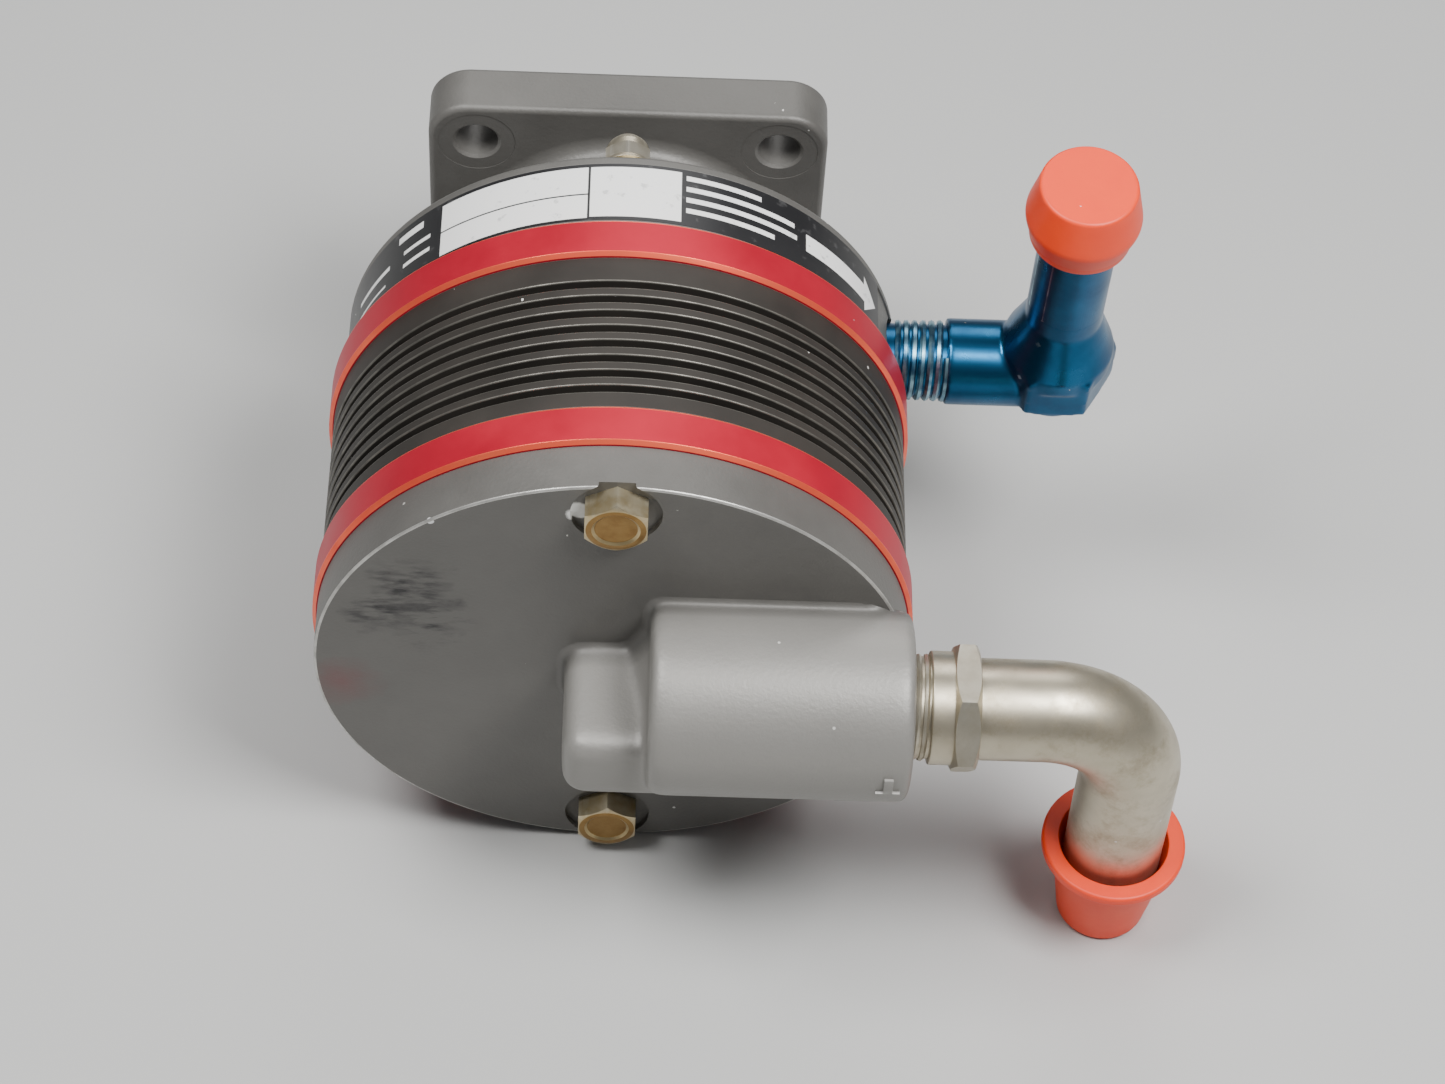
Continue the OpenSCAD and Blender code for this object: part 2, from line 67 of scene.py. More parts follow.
ON_STUB = at(INLET_X, INLET_Y, INLET_Z, Matrix.Rotation(math.radians(INLET_LEAN), 4, "X"))
ON_OUTLET = at(0, OUTLET_Y, OUTLET_Z, ALONG_X)
ON_INLET = at(0, INLET_Y, INLET_Z, ALONG_X)


# Shells, outlines and meshes

def solid(name, shells):
    """One object from shells given in mm, each a list of points and a list of faces."""
    points, faces = [], []
    for shell_points, shell_faces in shells:
        start = len(points)
        points += [tuple(c * MM for c in p) for p in shell_points]
        faces += [tuple(start + i for i in f) for f in shell_faces]
    mesh = bpy.data.meshes.new(name)
    mesh.from_pydata(points, [], faces)
    obj = bpy.data.objects.new(name, mesh)
    bpy.context.scene.collection.objects.link(obj)
    tidy_mesh(obj)
    return obj


def tidy_mesh(obj, sharp=32):
    work = bmesh.new()
    work.from_mesh(obj.data)
    bmesh.ops.remove_doubles(work, verts=work.verts, dist=2e-6)
    bmesh.ops.recalc_face_normals(work, faces=work.faces)
    work.to_mesh(obj.data)
    work.free()
    obj.data.shade_smooth()
    obj.data.set_sharp_from_angle(angle=math.radians(sharp))


def even_shading(obj):
    """Keeps broad flat faces flat beside small fillets."""
    weigh = obj.modifiers.new("weigh", "WEIGHTED_NORMAL")
    weigh.keep_sharp = True
    weigh.weight = 100
    settle(obj)


def settle(obj):
    """Turns live modifiers into plain mesh."""
    seen = bpy.context.evaluated_depsgraph_get()
    seen.update()
    mesh = bpy.data.meshes.new_from_object(obj.evaluated_get(seen))
    obj.modifiers.clear()
    obj.data = mesh
    return obj


def combine(obj, other, operation):
    cut = obj.modifiers.new("shape", "BOOLEAN")
    cut.operation, cut.object, cut.solver = operation, other, "EXACT"
    settle(obj)
    bpy.data.objects.remove(other)
    tidy_mesh(obj)
    return obj


def rounded(corners, segments=4):
    """Closed outline with its corners rounded: each is (along, radius, fillet)."""
    out = []
    count = len(corners)
    for i, (a, r, fillet) in enumerate(corners):
        here = Vector((a, r))
        if fillet <= 0:
            out.append((a, r))
            continue
        before = (Vector(corners[i - 1][:2]) - here).normalized()
        after = (Vector(corners[(i + 1) % count][:2]) - here).normalized()
        half = math.acos(max(-1, min(1, before.dot(after)))) / 2
        reach = fillet / math.tan(half)
        centre = here + (before + after).normalized() * fillet / math.sin(half)
        start, end = here + before * reach - centre, here + after * reach - centre
        turn = start.angle_signed(end)
        for k in range(segments + 1):
            spoke = Matrix.Rotation(-turn * k / segments, 2) @ start
            out.append(tuple(centre + spoke))
    return out


def lathe(outline, place, steps=192, radius=None):
    """Closed shell from an outline of (along, radius) turned round the local Z axis."""
    points, faces = [], []
    count = len(outline)
    for s in range(steps):
        turn = 2 * math.pi * s / steps
        for a, r in outline:
            reach = radius(a, r, turn) if radius else r
            points.append(place @ Vector((reach * math.cos(turn), reach * math.sin(turn), a)))
    for s in range(steps):
        n = (s + 1) % steps
        for i in range(count):
            j = (i + 1) % count
            if outline[i][1] < 1e-6 and outline[j][1] < 1e-6:
                continue
            ring = [s * count + i, n * count + i, n * count + j, s * count + j]
            if outline[i][1] < 1e-6:
                ring.pop(1)
            elif outline[j][1] < 1e-6:
                ring.pop(2)
            faces.append(ring)
    return points, faces


def turned(corners, place, steps=192, segments=4):
    return lathe(rounded(corners, segments), place, steps)


def stack(outline_at, levels):
    """Closed shell from outlines stacked along Y: levels are (y, inset)."""
    rings = [[(x, y, z) for x, z in outline_at(inset)] for y, inset in levels]
    count = len(rings[0])
    points = [p for ring in rings for p in ring]
    faces = [tuple(range(count)), tuple(range(len(points) - count, len(points)))]
    for k in range(len(rings) - 1):
        for i in range(count):
            j = (i + 1) % count
            faces.append((k * count + i, k * count + j, (k + 1) * count + j, (k + 1) * count + i))
    return points, faces


def round_rect(x0, x1, z0, z1, corner, inset):
    """Outline of a rectangle with round corners, drawn in by the inset."""
    out = []
    for quarter in range(4):
        cx = x1 - corner if quarter in (0, 3) else x0 + corner
        cz = z1 - corner if quarter in (0, 1) else z0 + corner
        for k in range(13):
            turn = math.radians(90 * quarter + 7.5 * k)
            out.append((cx + (corner - inset) * math.cos(turn), cz + (corner - inset) * math.sin(turn)))
    return out


def pad_outline(inset):
    return round_rect(-PAD_HALF, PAD_HALF, -PAD_HALF, PAD_HALF, PAD_CORNER, inset)


def block_outline(inset):
    return round_rect(-7.4, 12.0, -7.4, 6.6, 3.6, inset)


def hex_reach(across, turn):
    return across / 2 / math.cos((turn + math.pi / 6) % (math.pi / 3) - math.pi / 6)


def hex_bar(across, z0, z1, place, low_cut=0.0, high_cut=0.0, steps=96, turned_by=0.0):
    """Hexagonal bar whose corners are chamfered at 30 degrees at either end."""
    limit = across / 2 - 0.15
    slope = math.tan(math.radians(30))
    levels = [(0, "low"), (1, "low"), (1, "high"), (0, "high")]
    points, faces = [], []
    for s in range(steps):
        turn = 2 * math.pi * s / steps
        reach = hex_reach(across, turn + turned_by)
        over = max(0.0, reach - limit)
        for out, side in levels:
            cut = low_cut if side == "low" else high_cut
            r = reach if out else min(reach, limit if cut else reach) - 0.02
            drop = over * slope * cut if out else 0.0
            z = z0 + drop if side == "low" else z1 - drop
            points.append(place @ Vector((r * math.cos(turn), r * math.sin(turn), z)))
    low = len(points)
    points += [place @ Vector((0, 0, z0)), place @ Vector((0, 0, z1))]
    for s in range(steps):
        n = (s + 1) % steps
        for k in range(3):
            faces.append((s * 4 + k, n * 4 + k, n * 4 + k + 1, s * 4 + k + 1))
        faces.append((low, n * 4, s * 4))
        faces.append((low + 1, s * 4 + 3, n * 4 + 3))
    return points, faces


def soften(obj, voxel, passes):
    """Melts overlapping shells into one skin with cast fillets between them."""
    melt = obj.modifiers.new("melt", "REMESH")
    melt.mode, melt.voxel_size = "VOXEL", voxel * MM
    smooth = obj.modifiers.new("fillet", "SMOOTH")
    smooth.factor, smooth.iterations = 0.5, passes
    settle(obj)
    tidy_mesh(obj, 60)
    return obj


# Geometry node trees

def node_tree(name, sizes):
    tree = bpy.data.node_groups.new(name, "GeometryNodeTree")
    tree.interface.new_socket(name="Geometry", in_out="INPUT", socket_type="NodeSocketGeometry")
    for label, kind in sizes:
        tree.interface.new_socket(name=label, in_out="INPUT", socket_type=kind)
    tree.interface.new_socket(name="Geometry", in_out="OUTPUT", socket_type="NodeSocketGeometry")
    return tree, tree.nodes.new("NodeGroupInput"), tree.nodes.new("NodeGroupOutput")


def step(tree, kind, links=None, **settings):
    """Adds a node; links maps an input's name or number to a socket or a value."""
    made = tree.nodes.new(kind)
    for name, value in settings.items():
        setattr(made, name, value)
    for key, value in (links or {}).items():
        socket = made.inputs[key]
        if isinstance(value, bpy.types.NodeSocket):
            tree.links.new(value, socket)
        else:
            socket.default_value = value
    return made


def end_tree(tree, out, geometry, material):
    real = step(tree, "GeometryNodeRealizeInstances", {0: geometry})
    dressed = step(tree, "GeometryNodeSetMaterial", {0: real.outputs[0], "Material": material})
    tree.links.new(dressed.outputs[0], out.inputs[0])


def run_tree(obj, tree, **values):
    grow = obj.modifiers.new("grow", "NODES")
    grow.node_group = tree
    for item in tree.interface.items_tree:
        if item.in_out == "INPUT" and item.name.replace(" ", "_") in values:
            grow[item.identifier] = values[item.name.replace(" ", "_")]
    settle(obj)
    tidy_mesh(obj)
    return obj


def bolt_circle_tree():
    """Sets the piece it is given at both ends of the bolt circle's upright."""
    tree, given, out = node_tree("bolt_circle", [
        ("Circle Radius", "NodeSocketFloat"), ("Finish", "NodeSocketMaterial")])
    low = step(tree, "ShaderNodeMath", {0: given.outputs["Circle Radius"], 1: -1.0}, operation="MULTIPLY")
    span = step(tree, "ShaderNodeMath", {0: given.outputs["Circle Radius"], 1: 2.0}, operation="MULTIPLY")
    start = step(tree, "ShaderNodeCombineXYZ", {2: low.outputs[0]})
    reach = step(tree, "ShaderNodeCombineXYZ", {2: span.outputs[0]})
    line = step(tree, "GeometryNodeMeshLine", {"Count": 2, "Start Location": start.outputs[0],
                                               "Offset": reach.outputs[0]}, mode="OFFSET")
    placed = step(tree, "GeometryNodeInstanceOnPoints",
                  {"Points": line.outputs[0], "Instance": given.outputs["Geometry"]})
    end_tree(tree, out, placed.outputs[0], given.outputs["Finish"])
    return tree


def fin_stack_tree():
    """Adds a row of cooling fins with rounded edges round the given barrel."""
    tree, given, out = node_tree("fin_stack", [
        ("Fin Count", "NodeSocketInt"), ("Pitch", "NodeSocketFloat"), ("First Fin", "NodeSocketFloat"),
        ("Ring Radius", "NodeSocketFloat"), ("Fin Width", "NodeSocketFloat"),
        ("Fin Depth", "NodeSocketFloat"), ("Edge Radius", "NodeSocketFloat"),
        ("Finish", "NodeSocketMaterial")])
    size = given.outputs
    circle = step(tree, "GeometryNodeCurvePrimitiveCircle",
                  {"Resolution": 256, "Radius": size["Ring Radius"]})
    section = step(tree, "GeometryNodeCurvePrimitiveQuadrilateral",
                   {"Width": size["Fin Depth"], "Height": size["Fin Width"]})
    eased = step(tree, "GeometryNodeFilletCurve",
                 {"Curve": section.outputs[0], "Radius": size["Edge Radius"], "Count": 3}, mode="POLY")
    fin = step(tree, "GeometryNodeCurveToMesh",
               {"Curve": circle.outputs[0], "Profile Curve": eased.outputs[0]})
    start = step(tree, "ShaderNodeCombineXYZ", {1: size["First Fin"]})
    pitch = step(tree, "ShaderNodeCombineXYZ", {1: size["Pitch"]})
    row = step(tree, "GeometryNodeMeshLine", {"Count": size["Fin Count"], "Start Location": start.outputs[0],
                                              "Offset": pitch.outputs[0]}, mode="OFFSET")
    fins = step(tree, "GeometryNodeInstanceOnPoints",
                {"Points": row.outputs[0], "Instance": fin.outputs[0],
                 "Rotation": (math.radians(90), 0, 0)})
    both = step(tree, "GeometryNodeJoinGeometry")
    tree.links.new(given.outputs["Geometry"], both.inputs[0])
    tree.links.new(fins.outputs[0], both.inputs[0])
    end_tree(tree, out, both.outputs[0], size["Finish"])
    return tree


def thread_tree():
    """Winds a thread's crest round the given core, which lies along X."""
    tree, given, out = node_tree("thread", [
        ("Turns", "NodeSocketFloat"), ("Start Radius", "NodeSocketFloat"),
        ("End Radius", "NodeSocketFloat"), ("Length", "NodeSocketFloat"),
        ("Crest", "NodeSocketFloat"), ("Place", "NodeSocketVector"), ("Finish", "NodeSocketMaterial")])
    size = given.outputs
    helix = step(tree, "GeometryNodeCurveSpiral",
                 {"Resolution": 72, "Rotations": size["Turns"], "Start Radius": size["Start Radius"],
                  "End Radius": size["End Radius"], "Height": size["Length"]})
    upright = step(tree, "GeometryNodeSetCurveNormal", {0: helix.outputs[0]})
    crest = step(tree, "GeometryNodeCurvePrimitiveCircle", {"Resolution": 6, "Radius": size["Crest"]})
    wound = step(tree, "GeometryNodeCurveToMesh",
                 {"Curve": upright.outputs[0], "Profile Curve": crest.outputs[0], "Fill Caps": True})
    laid = step(tree, "GeometryNodeTransform", {"Geometry": wound.outputs[0], "Translation": size["Place"],
                                                "Rotation": (0, math.radians(90), 0)})
    both = step(tree, "GeometryNodeJoinGeometry")
    tree.links.new(given.outputs["Geometry"], both.inputs[0])
    tree.links.new(laid.outputs[0], both.inputs[0])
    end_tree(tree, out, both.outputs[0], size["Finish"])
    return tree


def swept_pipe_tree():
    """Sweeps a hollow pipe along the given line, cut back at both ends so the bore is open."""
    tree, given, out = node_tree("swept_pipe", [
        ("Outer Radius", "NodeSocketFloat"), ("Bore Radius", "NodeSocketFloat"),
        ("Cut Back", "NodeSocketFloat"), ("Finish", "NodeSocketMaterial")])
    size = given.outputs
    route = step(tree, "GeometryNodeMeshToCurve", {0: size["Geometry"]})
    length = step(tree, "GeometryNodeCurveLength", {0: route.outputs[0]})
    stop = step(tree, "ShaderNodeMath", {0: length.outputs[0], 1: size["Cut Back"]}, operation="SUBTRACT")
    kept = step(tree, "GeometryNodeTrimCurve", {0: route.outputs[0]}, mode="LENGTH")
    for socket in kept.inputs:
        if socket.enabled and socket.name == "Start":
            tree.links.new(size["Cut Back"], socket)
        if socket.enabled and socket.name == "End":
            tree.links.new(stop.outputs[0], socket)
    walls = []
    for line, radius in ((kept.outputs[0], "Outer Radius"), (route.outputs[0], "Bore Radius")):
        ring = step(tree, "GeometryNodeCurvePrimitiveCircle", {"Resolution": 72, "Radius": size[radius]})
        walls.append(step(tree, "GeometryNodeCurveToMesh",
                          {"Curve": line, "Profile Curve": ring.outputs[0], "Fill Caps": True}))
    hollow = step(tree, "GeometryNodeMeshBoolean", operation="DIFFERENCE", solver="EXACT")
    tree.links.new(walls[0].outputs[0], hollow.inputs[0])
    tree.links.new(walls[1].outputs[0], hollow.inputs[1])
    end_tree(tree, out, hollow.outputs[0], size["Finish"])
    return tree


# Materials

def effect(name, inputs, outputs):
    """Shared shader group: inputs are (name, default), outputs are (name, socket type)."""
    tree = bpy.data.node_groups.new(name, "ShaderNodeTree")
    tree.interface.new_socket(name="Vector", in_out="INPUT", socket_type="NodeSocketVector")
    for label, default in inputs:
        socket = tree.interface.new_socket(name=label, in_out="INPUT", socket_type="NodeSocketFloat")
        socket.default_value = default
    for label, kind in outputs:
        tree.interface.new_socket(name=label, in_out="OUTPUT", socket_type=kind)
    return tree, tree.nodes.new("NodeGroupInput"), tree.nodes.new("NodeGroupOutput")


def math_step(tree, operation, a, b=0.0, clamp=False):
    return step(tree, "ShaderNodeMath", {0: a, 1: b}, operation=operation, use_clamp=clamp).outputs[0]


def ramp(tree, value, low, high, to_low=0.0, to_high=1.0):
    return step(tree, "ShaderNodeMapRange", {"Value": value, "From Min": low, "From Max": high,
                                             "To Min": to_low, "To Max": to_high}).outputs[0]


def noise(tree, vector, scale, detail=3.0, roughness=0.55):
    return step(tree, "ShaderNodeTexNoise", {"Vector": vector, "Scale": scale, "Detail": detail,
                                             "Roughness": roughness}).outputs[0]


def grain_effect():
    tree, given, out = effect("surface_grain", [("Scale", 900.0), ("Patch Scale", 45.0)],
                              [("Height", "NodeSocketFloat"), ("Patches", "NodeSocketFloat")])
    fine = noise(tree, given.outputs["Vector"], given.outputs["Scale"], 4.0, 0.62)
    patches = noise(tree, given.outputs["Vector"], given.outputs["Patch Scale"], 5.0, 0.6)
    tree.links.new(fine, out.inputs["Height"])
    tree.links.new(ramp(tree, patches, 0.32, 0.68), out.inputs["Patches"])
    return tree


def edge_wear_and_highlight_effect():
    tree, given, out = effect("edge_wear", [("Low", 0.53), ("High", 0.62), ("Scale", 300.0)],
                              [("Mask", "NodeSocketFloat")])
    edge = step(tree, "ShaderNodeNewGeometry").outputs["Pointiness"]
    broken = noise(tree, given.outputs["Vector"], given.outputs["Scale"], 4.0)
    mask = ramp(tree, edge, given.outputs["Low"], given.outputs["High"])
    wear_and_boss_highlight = ramp(tree, broken, 0.38, 0.6, 0.15, 1.0)
    tree.links.new(math_step(tree, "MULTIPLY", mask, wear_and_boss_highlight, True), out.inputs[0])
    return tree


def dust_effect():
    tree, given, out = effect("dust_specks", [("Scale", 420.0), ("Size", 0.12), ("Cover", 0.62)],
                              [("Mask", "NodeSocketFloat")])
    cells = step(tree, "ShaderNodeTexVoronoi", {"Vector": given.outputs["Vector"],
                                                "Scale": given.outputs["Scale"]}, feature="F1").outputs[0]
    dot = math_step(tree, "LESS_THAN", cells, given.outputs["Size"])
    where = noise(tree, given.outputs["Vector"], 210.0, 2.0)
    some = math_step(tree, "GREATER_THAN", where, given.outputs["Cover"])
    tree.links.new(math_step(tree, "MULTIPLY", dot, some), out.inputs[0])
    return tree


def lathe_line_effect():
    tree, given, out = effect("turning_lines", [("Lines", 4000.0)], [("Height", "NodeSocketFloat")])
    split = step(tree, "ShaderNodeSeparateXYZ", {0: given.outputs["Vector"]}).outputs
    radius = step(tree, "ShaderNodeVectorMath",
                  {0: step(tree, "ShaderNodeCombineXYZ", {0: split[0], 1: split[2]}).outputs[0]},
                  operation="LENGTH").outputs["Value"]
    across = math_step(tree, "ADD", radius, split[1])
    track = step(tree, "ShaderNodeCombineXYZ", {0: across}).outputs[0]
    tree.links.new(noise(tree, track, given.outputs["Lines"], 2.0), out.inputs[0])
    return tree


def printed_box_effect():
    """Mask of a rectangle in a label's own millimetres, with soft printed edges."""
    tree, given, out = effect("printed_box", [("Left", 0.0), ("Right", 1.0), ("Low", 0.0), ("High", 1.0)],
                              [("Mask", "NodeSocketFloat")])
    split = step(tree, "ShaderNodeSeparateXYZ", {0: given.outputs["Vector"]}).outputs
    inside = None
    for value, edge, sign in ((split[0], "Left", 1), (split[0], "Right", -1),
                              (split[1], "Low", 1), (split[1], "High", -1)):
        gap = math_step(tree, "SUBTRACT", value, given.outputs[edge])
        side = ramp(tree, math_step(tree, "MULTIPLY", gap, float(sign)), -0.05, 0.05)
        inside = side if inside is None else math_step(tree, "MULTIPLY", inside, side)
    tree.links.new(inside, out.inputs[0])
    return tree


GRAIN, EDGE_WEAR_AND_HIGHLIGHT, DUST = grain_effect(), edge_wear_and_highlight_effect(), dust_effect()
TURNING, PRINTED = lathe_line_effect(), printed_box_effect()


def use(tree, group, vector, **values):
    made = tree.nodes.new("ShaderNodeGroup")
    made.node_tree = group
    tree.links.new(vector, made.inputs["Vector"])
    for name, value in values.items():
        made.inputs[name.replace("_", " ")].default_value = value
    return made.outputs


def blend(tree, amount, first, second):
    made = tree.nodes.new("ShaderNodeMix")
    made.data_type = "RGBA"
    for key, value in ((0, amount), (6, first), (7, second)):
        if isinstance(value, bpy.types.NodeSocket):
            tree.links.new(value, made.inputs[key])
        else:
            made.inputs[key].default_value = value if isinstance(value, float) else (*value, 1.0)
    return made.outputs[2]


def finish_of(name, base, second, rough, metallic, grain=900.0, patch=45.0, bump=0.15, depth=0.00005,
              wear=None, wear_low=0.53, wear_high=0.62, dust=None, lines=0.0, extra=None, **shader):
    """A metal, paint or plastic finish: two tones in patches, fine grain, an edge tone and specks; the edge
    tone is wear, and on the blue anodise also a painted highlight.
    """
    mat = bpy.data.materials.new(name)
    mat.use_nodes = True
    tree = mat.node_tree
    skin = tree.nodes["Principled BSDF"]
    here = step(tree, "ShaderNodeTexCoord").outputs["Object"]
    texture = use(tree, GRAIN, here, Scale=grain, Patch_Scale=patch)
    colour = blend(tree, texture["Patches"], base, second)
    roughness = ramp(tree, texture["Patches"], 0.0, 1.0, rough[0], rough[1])
    if extra:
        colour, roughness = extra(tree, here, colour, roughness)
    if wear:
        worn_and_lit_edges = use(tree, EDGE_WEAR_AND_HIGHLIGHT, here, Low=wear_low, High=wear_high)["Mask"]
        colour = blend(tree, worn_and_lit_edges, colour, wear)
    if dust:
        specks = use(tree, DUST, here, Cover=dust)["Mask"]
        colour = blend(tree, specks, colour, (0.62, 0.61, 0.58))
    height = texture["Height"]
    if lines:
        turning = use(tree, TURNING, here, Lines=lines)["Height"]
        height = math_step(tree, "ADD", height, turning)
    raised = step(tree, "ShaderNodeBump", {"Strength": bump, "Distance": depth, "Height": height})
    tree.links.new(colour, skin.inputs["Base Color"])
    tree.links.new(roughness, skin.inputs["Roughness"])
    tree.links.new(raised.outputs[0], skin.inputs["Normal"])
    skin.inputs["Metallic"].default_value = metallic
    for key, value in shader.items():
        skin.inputs[key.replace("_", " ")].default_value = value
    return mat


def spot(tree, here, x, y, z, radius, ragged=0.35, soft=0.8):
    """Mask of a ragged round patch about one place, in mm."""
    away = step(tree, "ShaderNodeVectorMath", {0: here, 1: (x * MM, y * MM, z * MM)}, operation="DISTANCE")
    wobble = noise(tree, here, 260.0, 4.0)
    edge = math_step(tree, "MULTIPLY", math_step(tree, "SUBTRACT", wobble, 0.5), 2 * ragged * radius * MM)
    reach = math_step(tree, "ADD", away.outputs["Value"], edge)
    return ramp(tree, reach, radius * MM, soft * radius * MM)


def cover_marks_and_boss_highlight(tree, here, colour, roughness):
    """Dark oily scuffs, a red smear and a bare spot on the rear cover, a painted highlight that lightens the
    boss, and edge wear on the boss.
    """
    depth = step(tree, "ShaderNodeSeparateXYZ", {0: here}).outputs[1]
    # Painted highlight: the boss and block, standing proud of the face, are painted lighter where the
    # overhead light falls on them; edge wear is kept to the same zone.
    wear_and_boss_highlight = ramp(tree, depth, (COVER_FACE - 1.0) * MM, (COVER_FACE - 4.0) * MM)
    colour = blend(tree, math_step(tree, "MULTIPLY", wear_and_boss_highlight, 0.75), colour, (0.30, 0.29, 0.27))
    worn_and_lit_edges = use(tree, EDGE_WEAR_AND_HIGHLIGHT, here, Low=0.54, High=0.66)["Mask"]
    colour = blend(tree, math_step(tree, "MULTIPLY", worn_and_lit_edges, wear_and_boss_highlight), colour, (0.50, 0.49, 0.47))
    streak = step(tree, "ShaderNodeMapping", {"Vector": here, "Rotation": (0, 0.5, 0),
                                              "Scale": (1.0, 1.0, 3.4)}).outputs[0]
    torn = ramp(tree, noise(tree, streak, 120.0, 4.0, 0.6), 0.44, 0.60)
    for x, z, size in ((-31, 21, 8.0), (-29, 12, 7.5), (-37, 14, 6.0)):
        where = spot(tree, here, x, COVER_FACE, z, size, 0.6, 0.2)
        scuff = math_step(tree, "MULTIPLY", where, torn)
        colour = blend(tree, scuff, colour, (0.022, 0.020, 0.021))
    smear = math_step(tree, "MULTIPLY", spot(tree, here, -43, COVER_FACE, -5, 7.0, 0.5, 0.0), 0.4)
    colour = blend(tree, smear, colour, (0.20, 0.035, 0.04))
    bare = spot(tree, here, -5.6, COVER_FACE + 0.7, 40.2, 2.1, 0.5)
    colour = blend(tree, bare, colour, (0.78, 0.78, 0.76))
    nick = spot(tree, here, -28, COVER_FACE, 37.5, 0.6, 0.3)
    colour = blend(tree, nick, colour, (0.8, 0.8, 0.8))
    return colour, roughness


def tarnish(tree, here, colour, roughness):
    """Brown handling stains over plated metal."""
    stain = ramp(tree, noise(tree, here, 130.0, 6.0, 0.7), 0.5, 0.72)
    colour = blend(tree, math_step(tree, "MULTIPLY", stain, 0.55), colour, (0.24, 0.18, 0.10))
    return colour, math_step(tree, "ADD", roughness, math_step(tree, "MULTIPLY", stain, 0.12))


def print_fields(tree, here, colour, roughness):
    """Blank white fields, plain rules and a plain arrow on the black foil."""
    place = step(tree, "ShaderNodeUVMap", uv_map="label").outputs[0]
    boxes = [(-32.2, -6.2, 0.5, 5.4), (-32.2, -6.2, 5.7, 11.3), (-5.8, 8.8, 0.7, 11.3)]
    boxes += [(9.6, 9.6 + w, 9.7 - 2.3 * k, 10.7 - 2.3 * k) for k, w in enumerate((13.0, 19.5, 20.0, 15.5))]
    boxes += [(-42.6, -36.4, 9.2, 10.6), (-41.0, -34.6, 6.0, 6.8), (-41.0, -34.6, 3.2, 4.0),
              (-56.0, -45.0, 5.6, 6.5), (-66.0, -46.0, 2.6, 3.1), (31.6, 47.4, 4.0, 7.6)]
    white = None
    for left, right, low, high in boxes:
        mask = use(tree, PRINTED, place, Left=left, Right=right, Low=low, High=high)["Mask"]
        white = mask if white is None else math_step(tree, "MAXIMUM", white, mask)
    split = step(tree, "ShaderNodeSeparateXYZ", {0: place}).outputs
    across = math_step(tree, "ABSOLUTE", math_step(tree, "SUBTRACT", split[1], 5.8))
    along = math_step(tree, "SUBTRACT", 51.6, split[0])
    head = math_step(tree, "LESS_THAN", across, math_step(tree, "MULTIPLY", along, 0.85))
    behind = math_step(tree, "GREATER_THAN", split[0], 47.3)
    white = math_step(tree, "MAXIMUM", white, math_step(tree, "MULTIPLY", head, behind))
    wear_and_boss_highlight = ramp(tree, noise(tree, here, 500.0, 4.0), 0.62, 0.7, 0.0, 0.35)
    colour = blend(tree, white, colour, (0.86, 0.86, 0.84))
    return blend(tree, wear_and_boss_highlight, colour, (0.10, 0.10, 0.10)), roughness


CAST_TONES = ((0.112, 0.108, 0.100), (0.146, 0.141, 0.131), (0.42, 0.54), 0.3)
CAST_SKIN = {"grain": 1500.0, "patch": 38.0, "bump": 0.55, "depth": 0.00011, "wear": (0.46, 0.45, 0.43),
             "wear_low": 0.56, "wear_high": 0.70, "dust": 0.66}
casting = finish_of("casting_skin", *CAST_TONES, **CAST_SKIN)
cover_casting = finish_of("cover_casting_skin", *CAST_TONES, **dict(CAST_SKIN, wear=None), extra=cover_marks_and_boss_highlight)
red_anodise = finish_of("red_anodise", (0.43, 0.008, 0.026), (0.52, 0.014, 0.036), (0.38, 0.48), 0.35,
                        patch=60.0, bump=0.10, lines=2600.0, dust=0.67, Specular_IOR_Level=0.3)
# Painted highlight: bright orange on the plates' rim chamfers stands in for light glinting off the chamfer
# facets.
red_chamfer_highlight = finish_of("worn_red_chamfer", (0.95, 0.15, 0.07), (0.86, 0.09, 0.045), (0.28, 0.40), 0.6,
                        patch=120.0, bump=0.06, dust=0.66)
fin_coat = finish_of("fin_coating", (0.026, 0.023, 0.020), (0.040, 0.035, 0.030), (0.50, 0.62), 0.1,
                     patch=50.0, bump=0.2, lines=3200.0, dust=0.66, Specular_IOR_Level=0.3)
# Painted highlight: the lighter tone on the fins' rounded edges stands in for light glinting along them.
fin_edge_highlight = finish_of("worn_fin_edge", (0.17, 0.16, 0.14), (0.085, 0.080, 0.070), (0.36, 0.48), 0.6,
                     patch=260.0, bump=0.1)
# Painted highlight: the pale tone on the rear cover's rim fillet stands in for light catching that edge.
cast_rim_highlight = finish_of("worn_cast_edge", (0.62, 0.61, 0.58), (0.34, 0.33, 0.31), (0.30, 0.42), 0.6,
                      patch=240.0, bump=0.1)
head_stain = finish_of("stained_bolt_face", (0.22, 0.12, 0.035), (0.34, 0.21, 0.075), (0.30, 0.45), 0.85,
                       patch=320.0, bump=0.2, lines=2500.0)
label_foil = finish_of("label_print", (0.012, 0.012, 0.013), (0.018, 0.018, 0.019), (0.34, 0.44), 0.0,
                       bump=0.05, dust=0.66, extra=print_fields)
gold_plate = finish_of("gold_plate", (0.60, 0.47, 0.24), (0.46, 0.36, 0.20), (0.28, 0.42), 0.9,
                       patch=150.0, bump=0.12, wear=(0.72, 0.66, 0.50), wear_low=0.54, extra=tarnish)
nickel = finish_of("champagne_nickel", (0.56, 0.51, 0.40), (0.47, 0.42, 0.32), (0.30, 0.46), 0.9,
                   patch=90.0, bump=0.20, grain=1100.0, wear=(0.72, 0.69, 0.60), wear_low=0.55,
                   dust=0.66, extra=tarnish)
